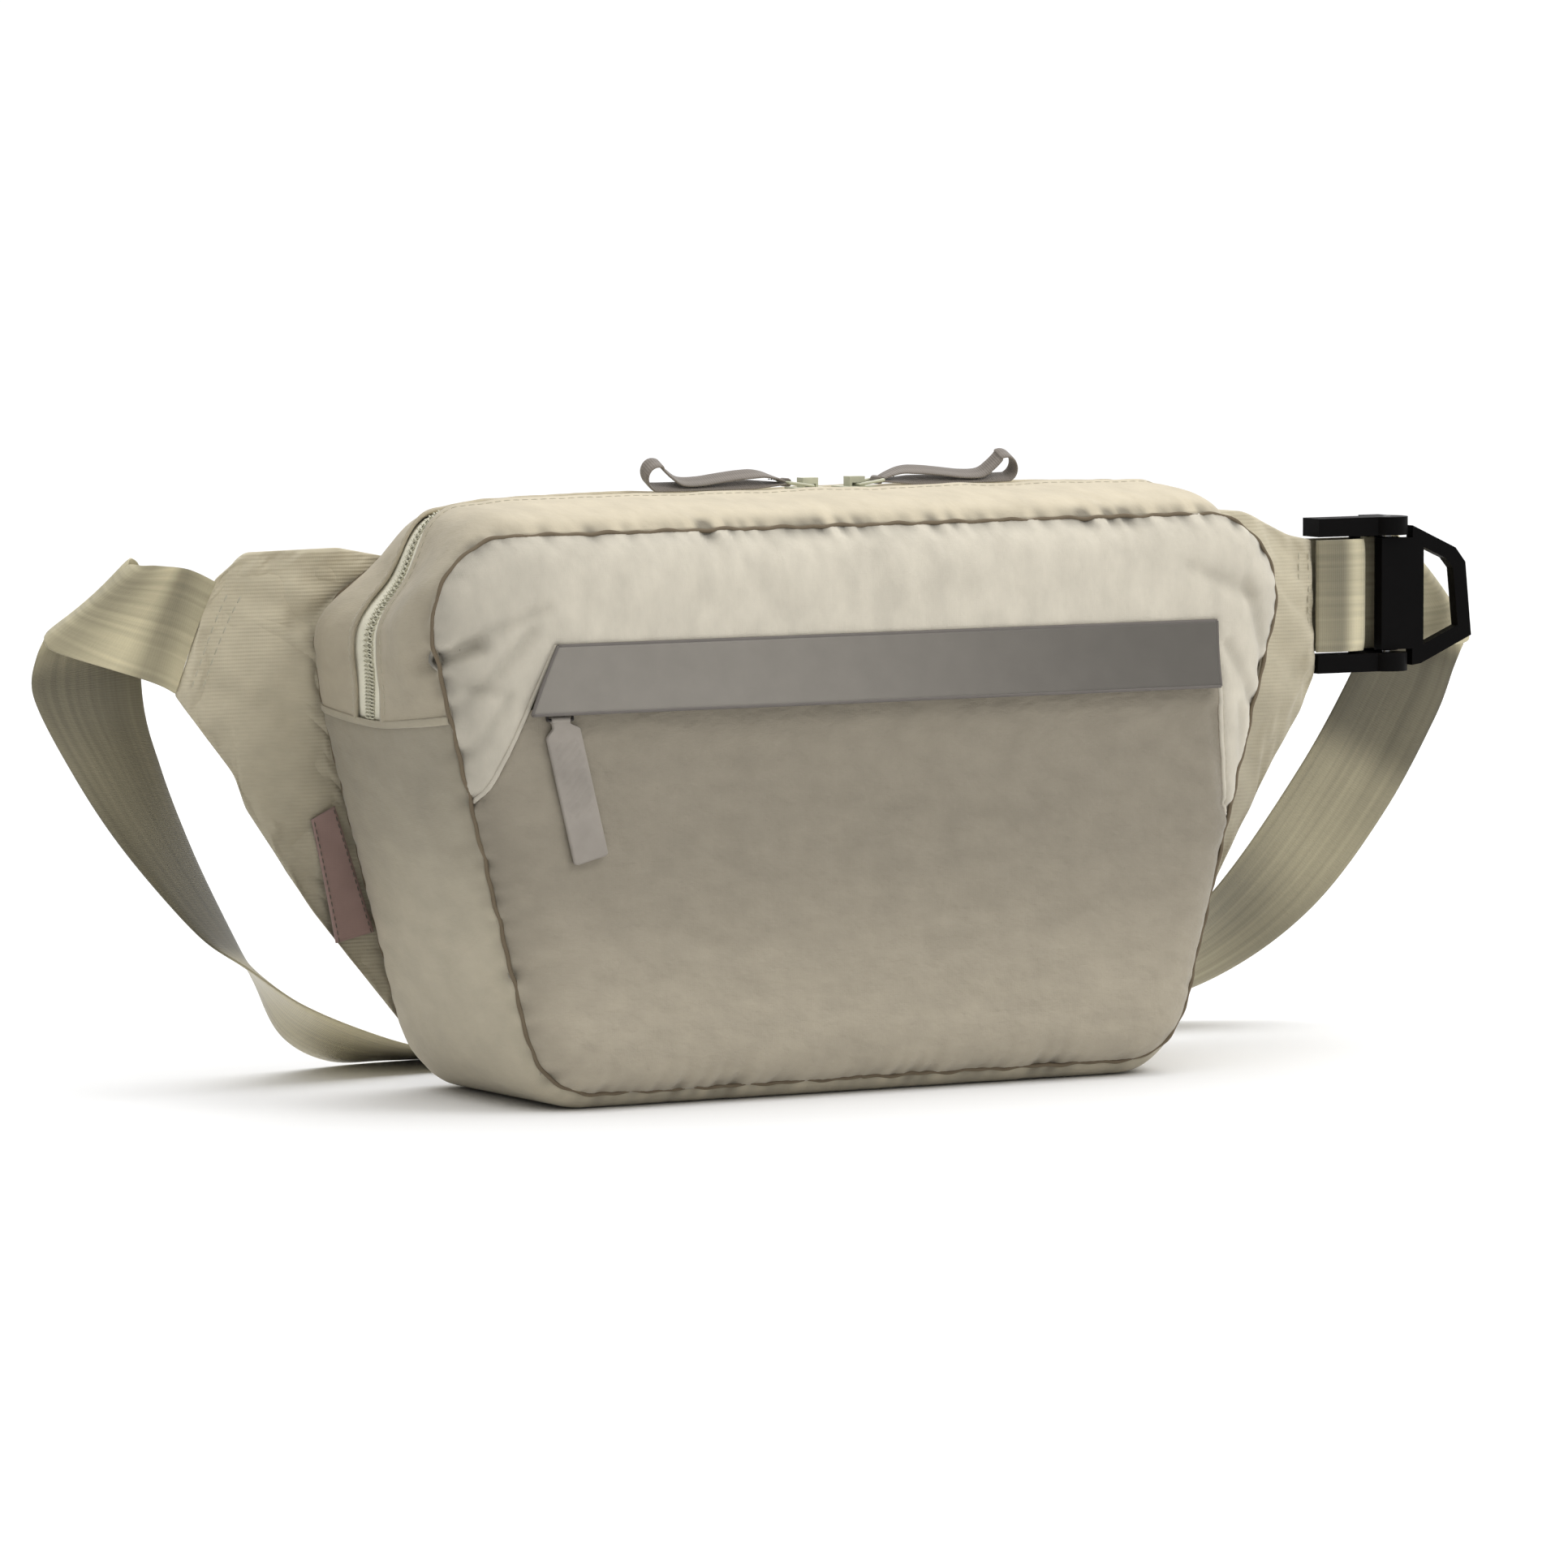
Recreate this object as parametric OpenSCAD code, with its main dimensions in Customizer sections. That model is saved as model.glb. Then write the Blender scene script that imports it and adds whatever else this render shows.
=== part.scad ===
// Waist pack standing on its base: a zipped main compartment, a zipped front pocket under a
// storm flap, two sewn side wings, and one webbing strap that runs behind the bag to a cam
// buckle. X runs to the right across the front, the front faces -Y, Z is up.
// The origin is the centre of the flat base. All sizes are in millimetres.

/* [Bag] */
// Height of the upper front seam above the floor
seam_top = 182.5; // [176:0.5:190]
// Half the front panel's width where its sides would meet the upper seam
top_half = 165; // [160:0.5:168]
// Half the front panel's width where its sides would meet the lower seam
base_half = 117.5; // [112:0.5:120]
// Distance between the front seam and the rear seam
depth = 86.8; // [84:0.1:90]
// Corner radius of the upper seam
top_radius = 28; // [20:1:34]
// Corner radius of the lower seam
base_radius = 25; // [18:1:30]
// Thickness of the bag's fabric with its backing
cloth = 1.6; // [1.2:0.1:2]
// Height of the side joint where the main zip ends
zip_end_height = 126; // [115:1:135]

/* [Fullness] */
// How far the gusset swells above the upper seam
top_crown = 9; // [6:0.5:11]
// How far the gusset swells past the side seams
side_crown = 6.5; // [5.5:0.5:9]
// How far the front panel swells past the front seam
front_crown = 9.15; // [8:0.05:9.5]
// How far the back panel swells past the rear seam
back_crown = 4; // [3:0.5:6]

/* [Webbing and buckle] */
// Width of the strap webbing
webbing = 38; // [36:1:38]
// Thickness of the strap webbing
webbing_thick = 1.6; // [1.2:0.1:1.8]
// Diameter of the cam lever's pin
pin_d = 3; // [2.6:0.1:3.2]

/* [Hidden] */

fabric_light = "#cdc6b6";
fabric_dark = "#a09884";
webbing_colour = "#a8a183";
coated = "#857f7a";

seam_low = 5;
half_depth = depth / 2;
lean = atan((top_half - base_half) / (seam_top - seam_low));

// ---- outline of the seams, drawn in the XZ plane ----

// Half width of the outline at height z, drawn in by inset
function half_at(z, inset = 0) = base_half + (z - seam_low) * tan(lean) - inset / cos(lean);
function corner_r(r, inset) = max(r - inset, 4);
function top_centre(inset) = let (r = corner_r(top_radius, inset))
    [half_at(seam_top - inset - r, inset + r), seam_top - inset - r];
function base_centre(inset) = let (r = corner_r(base_radius, inset))
    [half_at(seam_low + inset + r, inset + r), seam_low + inset + r];

// Points [x, z, nx, nz] of an arc with its outward normals
function arc(centre, r, from, to, steps) = [for (i = [0:steps]) let (a = from + (to - from) * i / steps)
    [centre.x + r * cos(a), centre.y + r * sin(a), cos(a), sin(a)]];
function mirrored(points) = [for (i = [len(points) - 1:-1:0]) let (p = points[i]) [-p[0], p[1], -p[2], p[3]]];
function side_point(z) = [half_at(z), z, cos(lean), -sin(lean)];

corner_steps = 10;
right_top = arc(top_centre(0), top_radius, -lean, 90, corner_steps);
right_base = arc(base_centre(0), base_radius, -90, -lean, corner_steps);
// Open paths that the gusset strips follow, both running from the right side to the left
path_over = concat([side_point(zip_end_height)], right_top, mirrored(right_top),
    mirrored([side_point(zip_end_height)]));
path_under = concat(mirrored(right_base), [[-30, seam_low, 0, -1], [30, seam_low, 0, -1]], right_base);
path_low = concat(mirrored([side_point(zip_end_height - 0.1)]), path_under,
    [side_point(zip_end_height - 0.1)]);

// Closed outline drawn in by inset, as 2D points
function outline(inset) = let (
    top = arc(top_centre(inset), corner_r(top_radius, inset), -lean, 90, corner_steps),
    low = arc(base_centre(inset), corner_r(base_radius, inset), -90, -lean, corner_steps),
    all = concat(low, top, mirrored(top), mirrored(low))
) [for (p = all) [p[0], p[1]]];

// ---- solids built from rings of points ----

// A closed solid through rings that all have the same even number of points
module loft(rings) {
    n = len(rings[0]);
    last = (len(rings) - 1) * n;
    sides = [for (i = [0:len(rings) - 2]) for (j = [0:n - 1])
        let (a = i * n + j, b = i * n + (j + 1) % n)
        for (face = [[a, b, b + n], [a, b + n, a + n]]) face];
    cap = [for (j = [0:n / 2 - 2]) for (face = [[j, n - 2 - j, j + 1], [j, n - 1 - j, n - 2 - j]]) face];
    far_cap = [for (f = cap) [last + f[0], last + f[2], last + f[1]]];
    polyhedron(points = [for (ring = rings) each ring], faces = concat(sides, cap, far_cap), convexity = 8);
}

// How far the gusset stands out of the seam outline: round on the sides and the top, pulled
// taut across the upper corners, flat underneath
corner_pull = 7;
function crown(nz) = nz > 0
    ? side_crown + (top_crown - side_crown) * nz - corner_pull * 2 * nz * sqrt(max(0, 1 - nz * nz))
    : side_crown + (side_crown - seam_low) * nz;
function flat_share(nz) = nz < -0.5 ? 0.8 * min(1, (-nz - 0.5) / 0.45) : 0;
function swell(w, f) = abs(w) <= f ? 1 : sqrt(max(0, 1 - pow((abs(w) - f) / (1 - f), 2)));
function gusset_point(p, y, lift) = let (o = crown(p[3]) * swell(y / half_depth, flat_share(p[3])) + lift)
    [p[0] + p[2] * o, y, p[1] + p[3] * o];

// A strip of the gusset from y0 to y1 along a path, lift above the gusset's own surface
module band(path, y0, y1, lift, thick, steps) {
    ys = [for (j = [0:steps]) y0 + (y1 - y0) * j / steps];
    loft([for (p = path) concat(
        [for (y = ys) gusset_point(p, y, lift)],
        [for (j = [steps:-1:0]) gusset_point(p, ys[j], lift - thick)])]);
}

// A crowned panel: rings of the outline, drawn in as they rise away from the seam
crown_profile = [[0, 0], [1.2, 0.3], [4, 0.62], [9, 0.88], [18, 1]];
module crowned(inset, lead, height) {
    rings = concat(lead > 0 ? [[inset, half_depth - lead]] : [],
        [for (c = crown_profile) [inset + c[0], half_depth + c[1] * height]]);
    loft([for (r = rings) [for (p = outline(r[0])) [p[0], r[1], p[1]]]]);
}
// The panel's shell at the rear, or mirrored to the front
module shell(front, height) {
    mirror([0, front ? 1 : 0, 0]) difference() {
        crowned(0, 0, height);
        crowned(cloth, 1, height - cloth);
    }
}

// A plate drawn in the XZ plane that runs from y0 to y1
module upright(y0, y1) {
    translate([0, y1, 0]) rotate([90, 0, 0]) linear_extrude(y1 - y0) children();
}

// ---- front: yoke, pocket, flap ----

front_y = -half_depth - front_crown;
flap_top = 148;
flap_low = 127;
flap_left = -116.5;
flap_right = 127.3;
slot_top = 138;
slot_low = 128;
pocket_zip_z = (slot_top + slot_low) / 2;
// The diagonal seam runs down to the left from the flap's upper left corner
diagonal = [-10.7, -21];
pocket_area = [[flap_left, flap_top], [flap_right, flap_top], [flap_right + 6, 88], [160, 60],
    [160, -5], [-160, -5], [-160, 60], [flap_left + 3 * diagonal.x, flap_top + 3 * diagonal.y]];

module pocket_zone(top) {
    intersection() {
        upright(front_y - 5, -half_depth + 5) polygon(pocket_area);
        translate([-200, front_y - 10, -10]) cube([400, 40, top + 10]);
    }
}
module front_yoke() {
    color(fabric_light) difference() {
        shell(true, front_crown);
        pocket_zone(slot_top);
    }
}
module pocket_panel() {
    color(fabric_dark) intersection() {
        shell(true, front_crown);
        pocket_zone(slot_low);
    }
}
module pocket_back() {
    color(fabric_light) upright(-half_depth - 2.4, -half_depth - 1.4) polygon(outline(5));
}

// The flap hangs from the rolled hem along its upper edge, and stands off the panel to
// cover the slider
flap_thick = 1.1;
flap_hinge_y = front_y - 0.2 - flap_thick / 2;
flap_tilt = 7.5;
module storm_flap() {
    drop = (flap_top - flap_low) / cos(flap_tilt);
    color(coated) translate([0, flap_hinge_y, flap_top]) rotate([-flap_tilt, 0, 0]) {
        upright(-flap_thick / 2, flap_thick / 2) polygon([[flap_left + diagonal.x, -drop],
            [flap_right, -drop], [flap_right, 0], [flap_left, 0]]);
        translate([flap_left, 0, 0]) rotate([0, 90, 0])
            cylinder(h = flap_right - flap_left, d = flap_thick, $fn = 32);
    }
}

// ---- zips ----

tape_thick = 0.7;
coil_high = 1.2;
coil_wide = 2;
// Half the slot between the two coil rows, where the slider's wedge runs
split = 0.6;

// The track runs along X with its tapes from z = 0 to tape_thick. The bridge that holds the
// pull runs along the track, or across it when bridge_turn is 90; its bar is bar high and bar_wide wide.
slider_plate = 0.8;
bridge_gap = 1.1;
module slider_body(length, width, bridge_turn, bar, bar_wide) {
    top_z = tape_thick + coil_high + 0.3;
    plate = slider_plate;
    span = 5.7;
    translate([-length / 2, -width / 2, top_z]) cube([length, width, plate]);
    translate([-length / 2, -width / 2, -0.5 - plate]) cube([length, width, plate]);
    translate([-1.5, -0.4, -0.6]) cube([3, 0.8, top_z + 0.7]);
    for (side = [-1, 1])
        translate([-length / 2, side * (width / 2 - 0.4) - 0.4, tape_thick + 0.3])
            cube([length, 0.8, top_z - tape_thick - 0.2]);
    rotate(bridge_turn) {
        for (side = [-1, 1])
            translate([side * (span - 0.9) / 2 - 0.45, -bar_wide / 2, top_z + plate - 0.1])
                cube([0.9, bar_wide, bridge_gap + 0.2]);
        translate([-span / 2, -bar_wide / 2, top_z + plate + bridge_gap]) cube([span, bar_wide, bar]);
    }
}
ring_lift = tape_thick + coil_high + 0.3 + slider_plate + bridge_gap / 2;

// A wire ring in the XY plane whose near bar lies on the origin, along Y
module wire_ring(long, wide, wire) {
    for (x = [0, long]) translate([x, wide / 2, 0]) rotate([90, 0, 0]) cylinder(h = wide, d = wire, $fn = 32);
    for (side = [-1, 1]) translate([0, side * wide / 2, 0]) rotate([0, 90, 0]) cylinder(h = long, d = wire, $fn = 32);
    for (x = [0, long]) for (side = [-1, 1]) translate([x, side * wide / 2, 0]) sphere(d = wire, $fn = 32);
}

main_zip_y = 5;
// How far the tapes lie below the gusset's outer surface
tape_drop = cloth + 0.2;
main_zip_z = seam_top + top_crown * swell(main_zip_y / half_depth, 0) - tape_drop - tape_thick;
strip_gap = 7;
tape_wide = 10.5;
slider_left_x = 7.5;
slider_right_x = 25;

module main_tape_front() {
    color("#b9b79d") band(path_over, main_zip_y - split - tape_wide, main_zip_y - split, -tape_drop, tape_thick, 4);
}
module main_tape_rear() {
    color("#b9b79d") band(path_over, main_zip_y + split, main_zip_y + split + tape_wide, -tape_drop, tape_thick, 4);
}
module main_coil_front() {
    color("#c9c8ae") band(path_over, main_zip_y - split - coil_wide, main_zip_y - split,
        coil_high - tape_drop, coil_high, 2);
}
module main_coil_rear() {
    color("#c9c8ae") band(path_over, main_zip_y + split, main_zip_y + split + coil_wide,
        coil_high - tape_drop, coil_high, 2);
}
module main_slider(x) {
    color("#cfd0b0") translate([x, main_zip_y, main_zip_z]) slider_body(12, 9, 0, 2, 4);
}

pull_ring_long = 9;
pull_ring_wide = 7.4;
pull_wire = 1;
pull_tilt = 8;
// Places a pull on its slider's bridge, pointing left (side -1) or right (side 1)
module on_bridge(x, side) {
    translate([x, main_zip_y, main_zip_z + ring_lift]) mirror([side < 0 ? 1 : 0, 0, 0]) children();
}
module pull_ring(x, side) {
    color("#d6d6bd") on_bridge(x, side) rotate([0, -pull_tilt, 0])
        wire_ring(pull_ring_long, pull_ring_wide, pull_wire);
}

// A ribbon threaded on the ring, its two layers sewn together and its far end left as a loop
ribbon_wide = 6;
ribbon_thick = 0.9;
module ribbon_profile() {
    eye_r = pull_wire / 2 + 0.1;
    loop_r = 4.4;
    run = 37.5;
    difference() {
        union() {
            circle(r = eye_r + ribbon_thick, $fn = 48);
            translate([1, 0]) square([run, ribbon_thick]);
            translate([1, -ribbon_thick]) square([run + 9, ribbon_thick]);
            translate([run, 0]) rotate(33) square([10, ribbon_thick]);
        }
        circle(r = eye_r, $fn = 48);
    }
    translate([run + 10, loop_r - ribbon_thick]) difference() {
        circle(r = loop_r, $fn = 48);
        circle(r = loop_r - ribbon_thick, $fn = 48);
        translate([-2 * loop_r, -2 * loop_r]) square([1.4 * loop_r, 4 * loop_r]);
    }
}
module ribbon_pull(x, side) {
    color("#8d857d") on_bridge(x, side)
        translate([pull_ring_long * cos(pull_tilt), ribbon_wide / 2, pull_ring_long * sin(pull_tilt)])
            rotate([90, 0, 0]) linear_extrude(ribbon_wide) ribbon_profile();
}

// The pocket's zip lies behind the slot, its coil facing the flap
pocket_zip_y = front_y + cloth + tape_thick + 1.2;
pocket_zip_left = -125;
pocket_zip_right = 125.3;
pocket_slider_x = -116.2;
pocket_tape_wide = 8;
module on_pocket_zip() {
    translate([0, pocket_zip_y, pocket_zip_z]) rotate([90, 0, 0]) children();
}
module pocket_tape(side) {
    color("#8f8a76") on_pocket_zip() translate([pocket_zip_left,
        side > 0 ? split : -split - pocket_tape_wide, 0])
        cube([pocket_zip_right - pocket_zip_left, pocket_tape_wide, tape_thick]);
}
module pocket_coil(side) {
    coil_left = pocket_zip_left + 4;
    color("#a5a08a") on_pocket_zip() translate([coil_left, side > 0 ? split : -split - coil_wide, tape_thick])
        cube([pocket_zip_right - coil_left, coil_wide, coil_high]);
}
module pocket_slider() {
    color("#3a3835") on_pocket_zip() translate([pocket_slider_x, 0, 0]) slider_body(9, 7.6, 90, 0.6, 2);
}
pocket_ring_long = 8.2;
pocket_ring_wide = 9;
pocket_wire = 0.9;
pocket_ring_tilt = 9.5;
tab_pivot_y = pocket_zip_y - ring_lift - pocket_ring_long * sin(pocket_ring_tilt);
tab_pivot_z = pocket_zip_z - pocket_ring_long * cos(pocket_ring_tilt);
module pocket_pull_ring() {
    color("#3a3835") translate([pocket_slider_x, pocket_zip_y - ring_lift, pocket_zip_z])
        rotate([-pocket_ring_tilt, 0, 0]) rotate([0, 90, 0]) rotate([90, 0, 0])
            wire_ring(pocket_ring_long, pocket_ring_wide, pocket_wire);
}

// The moulded tab hangs on the ring's lower bar, leaning a little to the right
tab_wide = 12.5;
tab_long = 46;
tab_thick = 1.6;
tab_lean = 14;
module pocket_pull_tab() {
    barrel = 2.2;
    grip = 6.4;
    color("#978f88") translate([pocket_slider_x, tab_pivot_y, tab_pivot_z]) difference() {
        union() {
            translate([-grip / 2, 0, 0]) rotate([0, 90, 0]) cylinder(h = grip, d = barrel, $fn = 32);
            translate([0, -tab_thick / 2, 0]) rotate([0, -tab_lean, 0]) {
                translate([-tab_wide / 2, 0, -tab_long]) cube([tab_wide, tab_thick, tab_long - 3.4]);
                translate([-grip / 2, 0, -tab_long]) cube([grip, tab_thick, tab_long]);
            }
        }
        translate([-grip, 0, 0]) rotate([0, 90, 0]) cylinder(h = 2 * grip, d = pocket_wire + 0.1, $fn = 32);
    }
}

// ---- gusset, back and lining ----

module gusset_top_front() {
    color(fabric_light) band(path_over, -half_depth, main_zip_y - strip_gap, 0, cloth, 8);
}
module gusset_top_rear() {
    color(fabric_light) band(path_over, main_zip_y + strip_gap, half_depth, 0, cloth, 6);
}
module gusset_lower() {
    color(fabric_dark) band(path_low, -half_depth, half_depth, 0, cloth, 20);
}
module back_panel() {
    color("#8f8b80") shell(false, back_crown);
}
foam_thick = 5;
foam_inset = 7;
foam_y = half_depth - foam_thick;
module back_foam() {
    color("#5c5a55") upright(foam_y, half_depth - 0.2) polygon(outline(foam_inset));
}
lining_thick = 0.8;
module back_lining() {
    color("#77736a") upright(foam_y - 0.2 - lining_thick, foam_y - 0.2) polygon(outline(foam_inset - 2));
}
// An open-topped slip pocket sewn to the back lining, standing off it at the front
module inner_pocket() {
    pocket_half = 95;
    pocket_low = 35;
    pocket_high = 130;
    gap = 5;
    back = foam_y - 0.2 - lining_thick;
    color("#77736a") difference() {
        translate([-pocket_half, back - gap - lining_thick, pocket_low])
            cube([2 * pocket_half, gap + lining_thick, pocket_high - pocket_low]);
        translate([-pocket_half + lining_thick, back - gap, pocket_low + lining_thick])
            cube([2 * (pocket_half - lining_thick), gap + 1, pocket_high]);
    }
}
module binding(y0) {
    color("#6f6a5d") upright(y0, y0 + 4) difference() {
        polygon(outline(cloth + 0.3));
        polygon(outline(cloth + 1.3));
    }
}
module front_binding() {
    binding(-half_depth + 0.4);
}
module rear_binding() {
    binding(half_depth - 4.4);
}

// ---- wings and label ----

wing_thick = 3;
wing_y = half_depth + 0.2;
wing_clear = -0.3;
strap_start = [-194, 147.6];
wing_edge = webbing / 2 + 0.5;
// Unit vector up the left wing's slanted end
wing_end_dir = [sin(22), cos(22)];
wing_left_outline = [[-112, 11], [-120, 18], [-152, 58], [-176, 92], [-180, 103],
    strap_start - wing_edge * wing_end_dir, strap_start + wing_edge * wing_end_dir,
    [-176, 174.5], [-143, 178], [-104, 181]];
anchor_z = 147.5;
wing_right_x = 227.6;
wing_right_high = anchor_z + webbing / 2;
wing_right_outline = [[118, 12], [165, 28], [188, 50], [202, 75], [212, 92], [222, 107],
    [wing_right_x, 119], [wing_right_x, wing_right_high], [wing_right_x - 6, wing_right_high],
    [wing_right_x - 10, wing_right_high + 2], [200, 177], [155, 181], [110, 182]];
module wing(points) {
    color(fabric_dark) upright(wing_y, wing_y + wing_thick) difference() {
        polygon(points);
        polygon(outline(wing_clear));
    }
}
module side_label() {
    color("#6e5b55") upright(wing_y - 1, wing_y - 0.1) polygon([
        [-half_at(51) - 1.6, 51], [-half_at(92) - 4.6, 92], [-half_at(88) - 14, 88], [-half_at(48) - 16, 48]]);
}

// ---- strap ----

// Where the webbing runs past the buckle
strap_y = 51.4;
strap_mid = wing_y + wing_thick / 2;

// Stations of the strap from the left wing to the buckle: [centre, vector across the webbing].
// It folds over at the left, stands down to the floor, lies behind the bag, rises at the right,
// folds over again and passes through the buckle to its loose end.
strap_route = [
    [[strap_start.x - 0.3, strap_mid, strap_start.y + 0.1], webbing * [wing_end_dir.x, 0, wing_end_dir.y]],
    [[-204, 45.5, 152], [14.4, 0, 35]],
    [[-226.5, 47, 158], [36, 0, 26]],
    [[-228.3, 50, 160], [34, 0, 25]],
    [[-226.5, 53, 158], [36, 0, 26]],
    [[-226.5, 55, 130], [38, 0, 0]],
    [[-213.5, 60, 104.5], [36, 12, 0]],
    [[-196, 65, 78], [32, 20, 0]],
    [[-172.5, 73, 50], [26, 27, -4]],
    [[-156.5, 80, 36], [19, 32, -8]],
    [[-138, 87, 19.5], [10, 34, -13]],
    [[-114, 93, 9], [3, 36, -12]],
    [[-89, 96, 4.5], [0, 37, -6]],
    [[-53, 96, 1.5], [0, 38, 0]],
    [[0, 95, 1.2], [0, 38, 0]],
    [[64, 93, 1.2], [0, 38, 0]],
    [[107, 91, 1.6], [0, 38, 0]],
    [[144, 91, 5.5], [4, 37, -6]],
    [[177, 86, 13], [17, 29, -16]],
    [[207, 79, 27.5], [26, 18, -21]],
    [[231, 71, 49.5], [31, 6, -21]],
    [[254, 64.5, 81.5], [33, 1, -19]],
    [[271, 61, 111.5], [34, 0, -17]],
    [[276, 58.5, 126], [36, 0, -11]],
    [[281.5, strap_y + 6, 147.5], [32, 0, -38]],
    [[284, strap_y + 3, 149.5], [32, 0, -38]],
    [[281.5, strap_y, 147.5], [32, 0, -38]],
    [[273, strap_y, 147.5], [16, 0, -38]],
    [[262, strap_y, 147.5], [0, 0, -38]],
    [[231, strap_y, 147.5], [0, 0, -38]],
    [[200, strap_y, 147.5], [0, 0, -38]]
];
route_steps = 3;
function unit(v) = v / norm(v);
// A smooth curve through p1 and p2 with p0 and p3 beside them
function smooth(p0, p1, p2, p3, t) = p1 + 0.5 * t * ((p2 - p0)
    + t * (2 * p0 - 5 * p1 + 4 * p2 - p3 + t * (3 * (p1 - p2) + p3 - p0)));
function station(i, k) = strap_route[min(max(i, 0), len(strap_route) - 1)][k];
function along(i, t, k) = smooth(station(i - 1, k), station(i, k), station(i + 1, k), station(i + 2, k), t);
strap_path = concat([for (i = [0:len(strap_route) - 2]) for (s = [0:route_steps - 1])
    [along(i, s / route_steps, 0), along(i, s / route_steps, 1)]],
    [strap_route[len(strap_route) - 1]]);
function travel(i) = unit(strap_path[min(i + 1, len(strap_path) - 1)][0] - strap_path[max(i - 1, 0)][0]);
module main_strap() {
    color(webbing_colour) loft([for (i = [0:len(strap_path) - 1])
        let (c = strap_path[i][0], w = strap_path[i][1] / 2,
            n = unit(cross(travel(i), w)) * webbing_thick / 2)
        [c + w + n, c - w + n, c - w - n, c + w - n]]);
}

// ---- buckle ----

anchor_x = 245;
anchor_y = strap_mid;
bar_d = 4;
loop_in = bar_d / 2 + 0.15;
module anchor_webbing() {
    outer = loop_in + webbing_thick;
    color(webbing_colour) translate([0, 0, anchor_z - webbing / 2]) linear_extrude(webbing) difference() {
        union() {
            translate([wing_right_x + 0.1, anchor_y - outer]) square([anchor_x - wing_right_x - 0.1, 2 * outer]);
            translate([anchor_x, anchor_y]) circle(r = outer, $fn = 64);
        }
        translate([wing_right_x + 3, anchor_y - loop_in]) square([anchor_x - wing_right_x - 3, 2 * loop_in]);
        translate([anchor_x, anchor_y]) circle(r = loop_in, $fn = 64);
    }
}

pin_x = 258;
arm_gap = 1;
arm_low = anchor_z - webbing / 2 - arm_gap;
arm_high = anchor_z + webbing / 2 + arm_gap;
arm_thick = 6.2;
arm_left = 228;
arm_front = anchor_y - 4.05;
arm_back = anchor_y + 5.95;
arm_end_r = 7.2;
clamp_back = anchor_y + 11.45;
module arm_profile() {
    translate([arm_left, arm_front]) square([pin_x - arm_left, arm_back - arm_front]);
    translate([pin_x, anchor_y]) circle(r = arm_end_r, $fn = 64);
    translate([pin_x - 4, anchor_y]) square([8, clamp_back - anchor_y]);
}
module buckle_frame() {
    color("#121212") difference() {
        union() {
            for (z = [arm_low - arm_thick, arm_high]) translate([0, 0, z]) linear_extrude(arm_thick) arm_profile();
            translate([anchor_x, anchor_y, arm_low - 1]) cylinder(h = arm_high - arm_low + 2, d = bar_d, $fn = 48);
            translate([pin_x - 4, strap_y + webbing_thick / 2 + 0.5, arm_low - 1])
                cube([8, clamp_back - strap_y - webbing_thick / 2 - 0.5, arm_high - arm_low + 2]);
        }
        translate([pin_x, anchor_y, arm_low - arm_thick - 1])
            cylinder(h = arm_high - arm_low + 2 * arm_thick + 2, d = pin_d, $fn = 48);
    }
}

// The lever: a plate over the webbing, a toothed cam behind it and a six-sided finger loop.
// The loop's corners and its hole's corners are measured from the pin at the webbing's middle.
lever_front = anchor_y - 4.05;
lever_thick = 4;
lever_wide = webbing - 0.2;
cam_r = 4;
cam_wide = webbing + 0.4;
tooth_angles = [70, 90, 110];
loop_start = 8;
loop_corners = [[loop_start, -24.5], [11.5, -24], [32, -15], [29.5, 10], [25.5, 15], [loop_start, 23]];
hole_corners = [[12.5, -17.5], [26.5, -11.5], [24.5, 8], [21.5, 11.5], [12.5, 15.5]];
module cam_profile() {
    circle(r = cam_r, $fn = 48);
    for (a = tooth_angles) rotate(a) translate([0, -0.5]) square([cam_r + 0.7, 1]);
}
module cam_lever() {
    color("#161616") translate([pin_x, 0, anchor_z]) difference() {
        union() {
            upright(lever_front, lever_front + lever_thick) difference() {
                union() {
                    translate([-4.5, -lever_wide / 2]) square([loop_start + 5, lever_wide]);
                    polygon(loop_corners);
                }
                polygon(hole_corners);
            }
            translate([0, anchor_y, -cam_wide / 2]) linear_extrude(cam_wide) cam_profile();
        }
        translate([0, anchor_y, -cam_wide]) cylinder(h = 2 * cam_wide, d = pin_d + 0.1, $fn = 48);
    }
}
module cam_pin() {
    color("#8c8c8c") translate([pin_x, anchor_y, arm_low - arm_thick])
        cylinder(h = arm_high - arm_low + 2 * arm_thick, d = pin_d, $fn = 48);
}

front_yoke();
pocket_panel();
pocket_back();
storm_flap();
pocket_tape(1);  // pocket_tape_upper
pocket_tape(-1);  // pocket_tape_lower
pocket_coil(1);  // pocket_coil_upper
pocket_coil(-1);  // pocket_coil_lower
pocket_slider();
pocket_pull_ring();
pocket_pull_tab();
gusset_top_front();
gusset_top_rear();
gusset_lower();
main_tape_front();
main_tape_rear();
main_coil_front();
main_coil_rear();
main_slider(slider_left_x);  // main_slider_left
main_slider(slider_right_x);  // main_slider_right
pull_ring(slider_left_x, -1);  // pull_ring_left
pull_ring(slider_right_x, 1);  // pull_ring_right
ribbon_pull(slider_left_x, -1);  // ribbon_pull_left
ribbon_pull(slider_right_x, 1);  // ribbon_pull_right
back_panel();
back_foam();
back_lining();
inner_pocket();
front_binding();
rear_binding();
wing(wing_left_outline);  // wing_left
wing(wing_right_outline);  // wing_right
side_label();
main_strap();
anchor_webbing();
buckle_frame();
cam_lever();
cam_pin();
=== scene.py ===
"""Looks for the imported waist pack: fabric, zips, webbing, buckle and studio. Lengths are in metres, or in
millimetres where a comment or MM says so."""
import math
import bpy
import numpy as np
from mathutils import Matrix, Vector, noise


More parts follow.
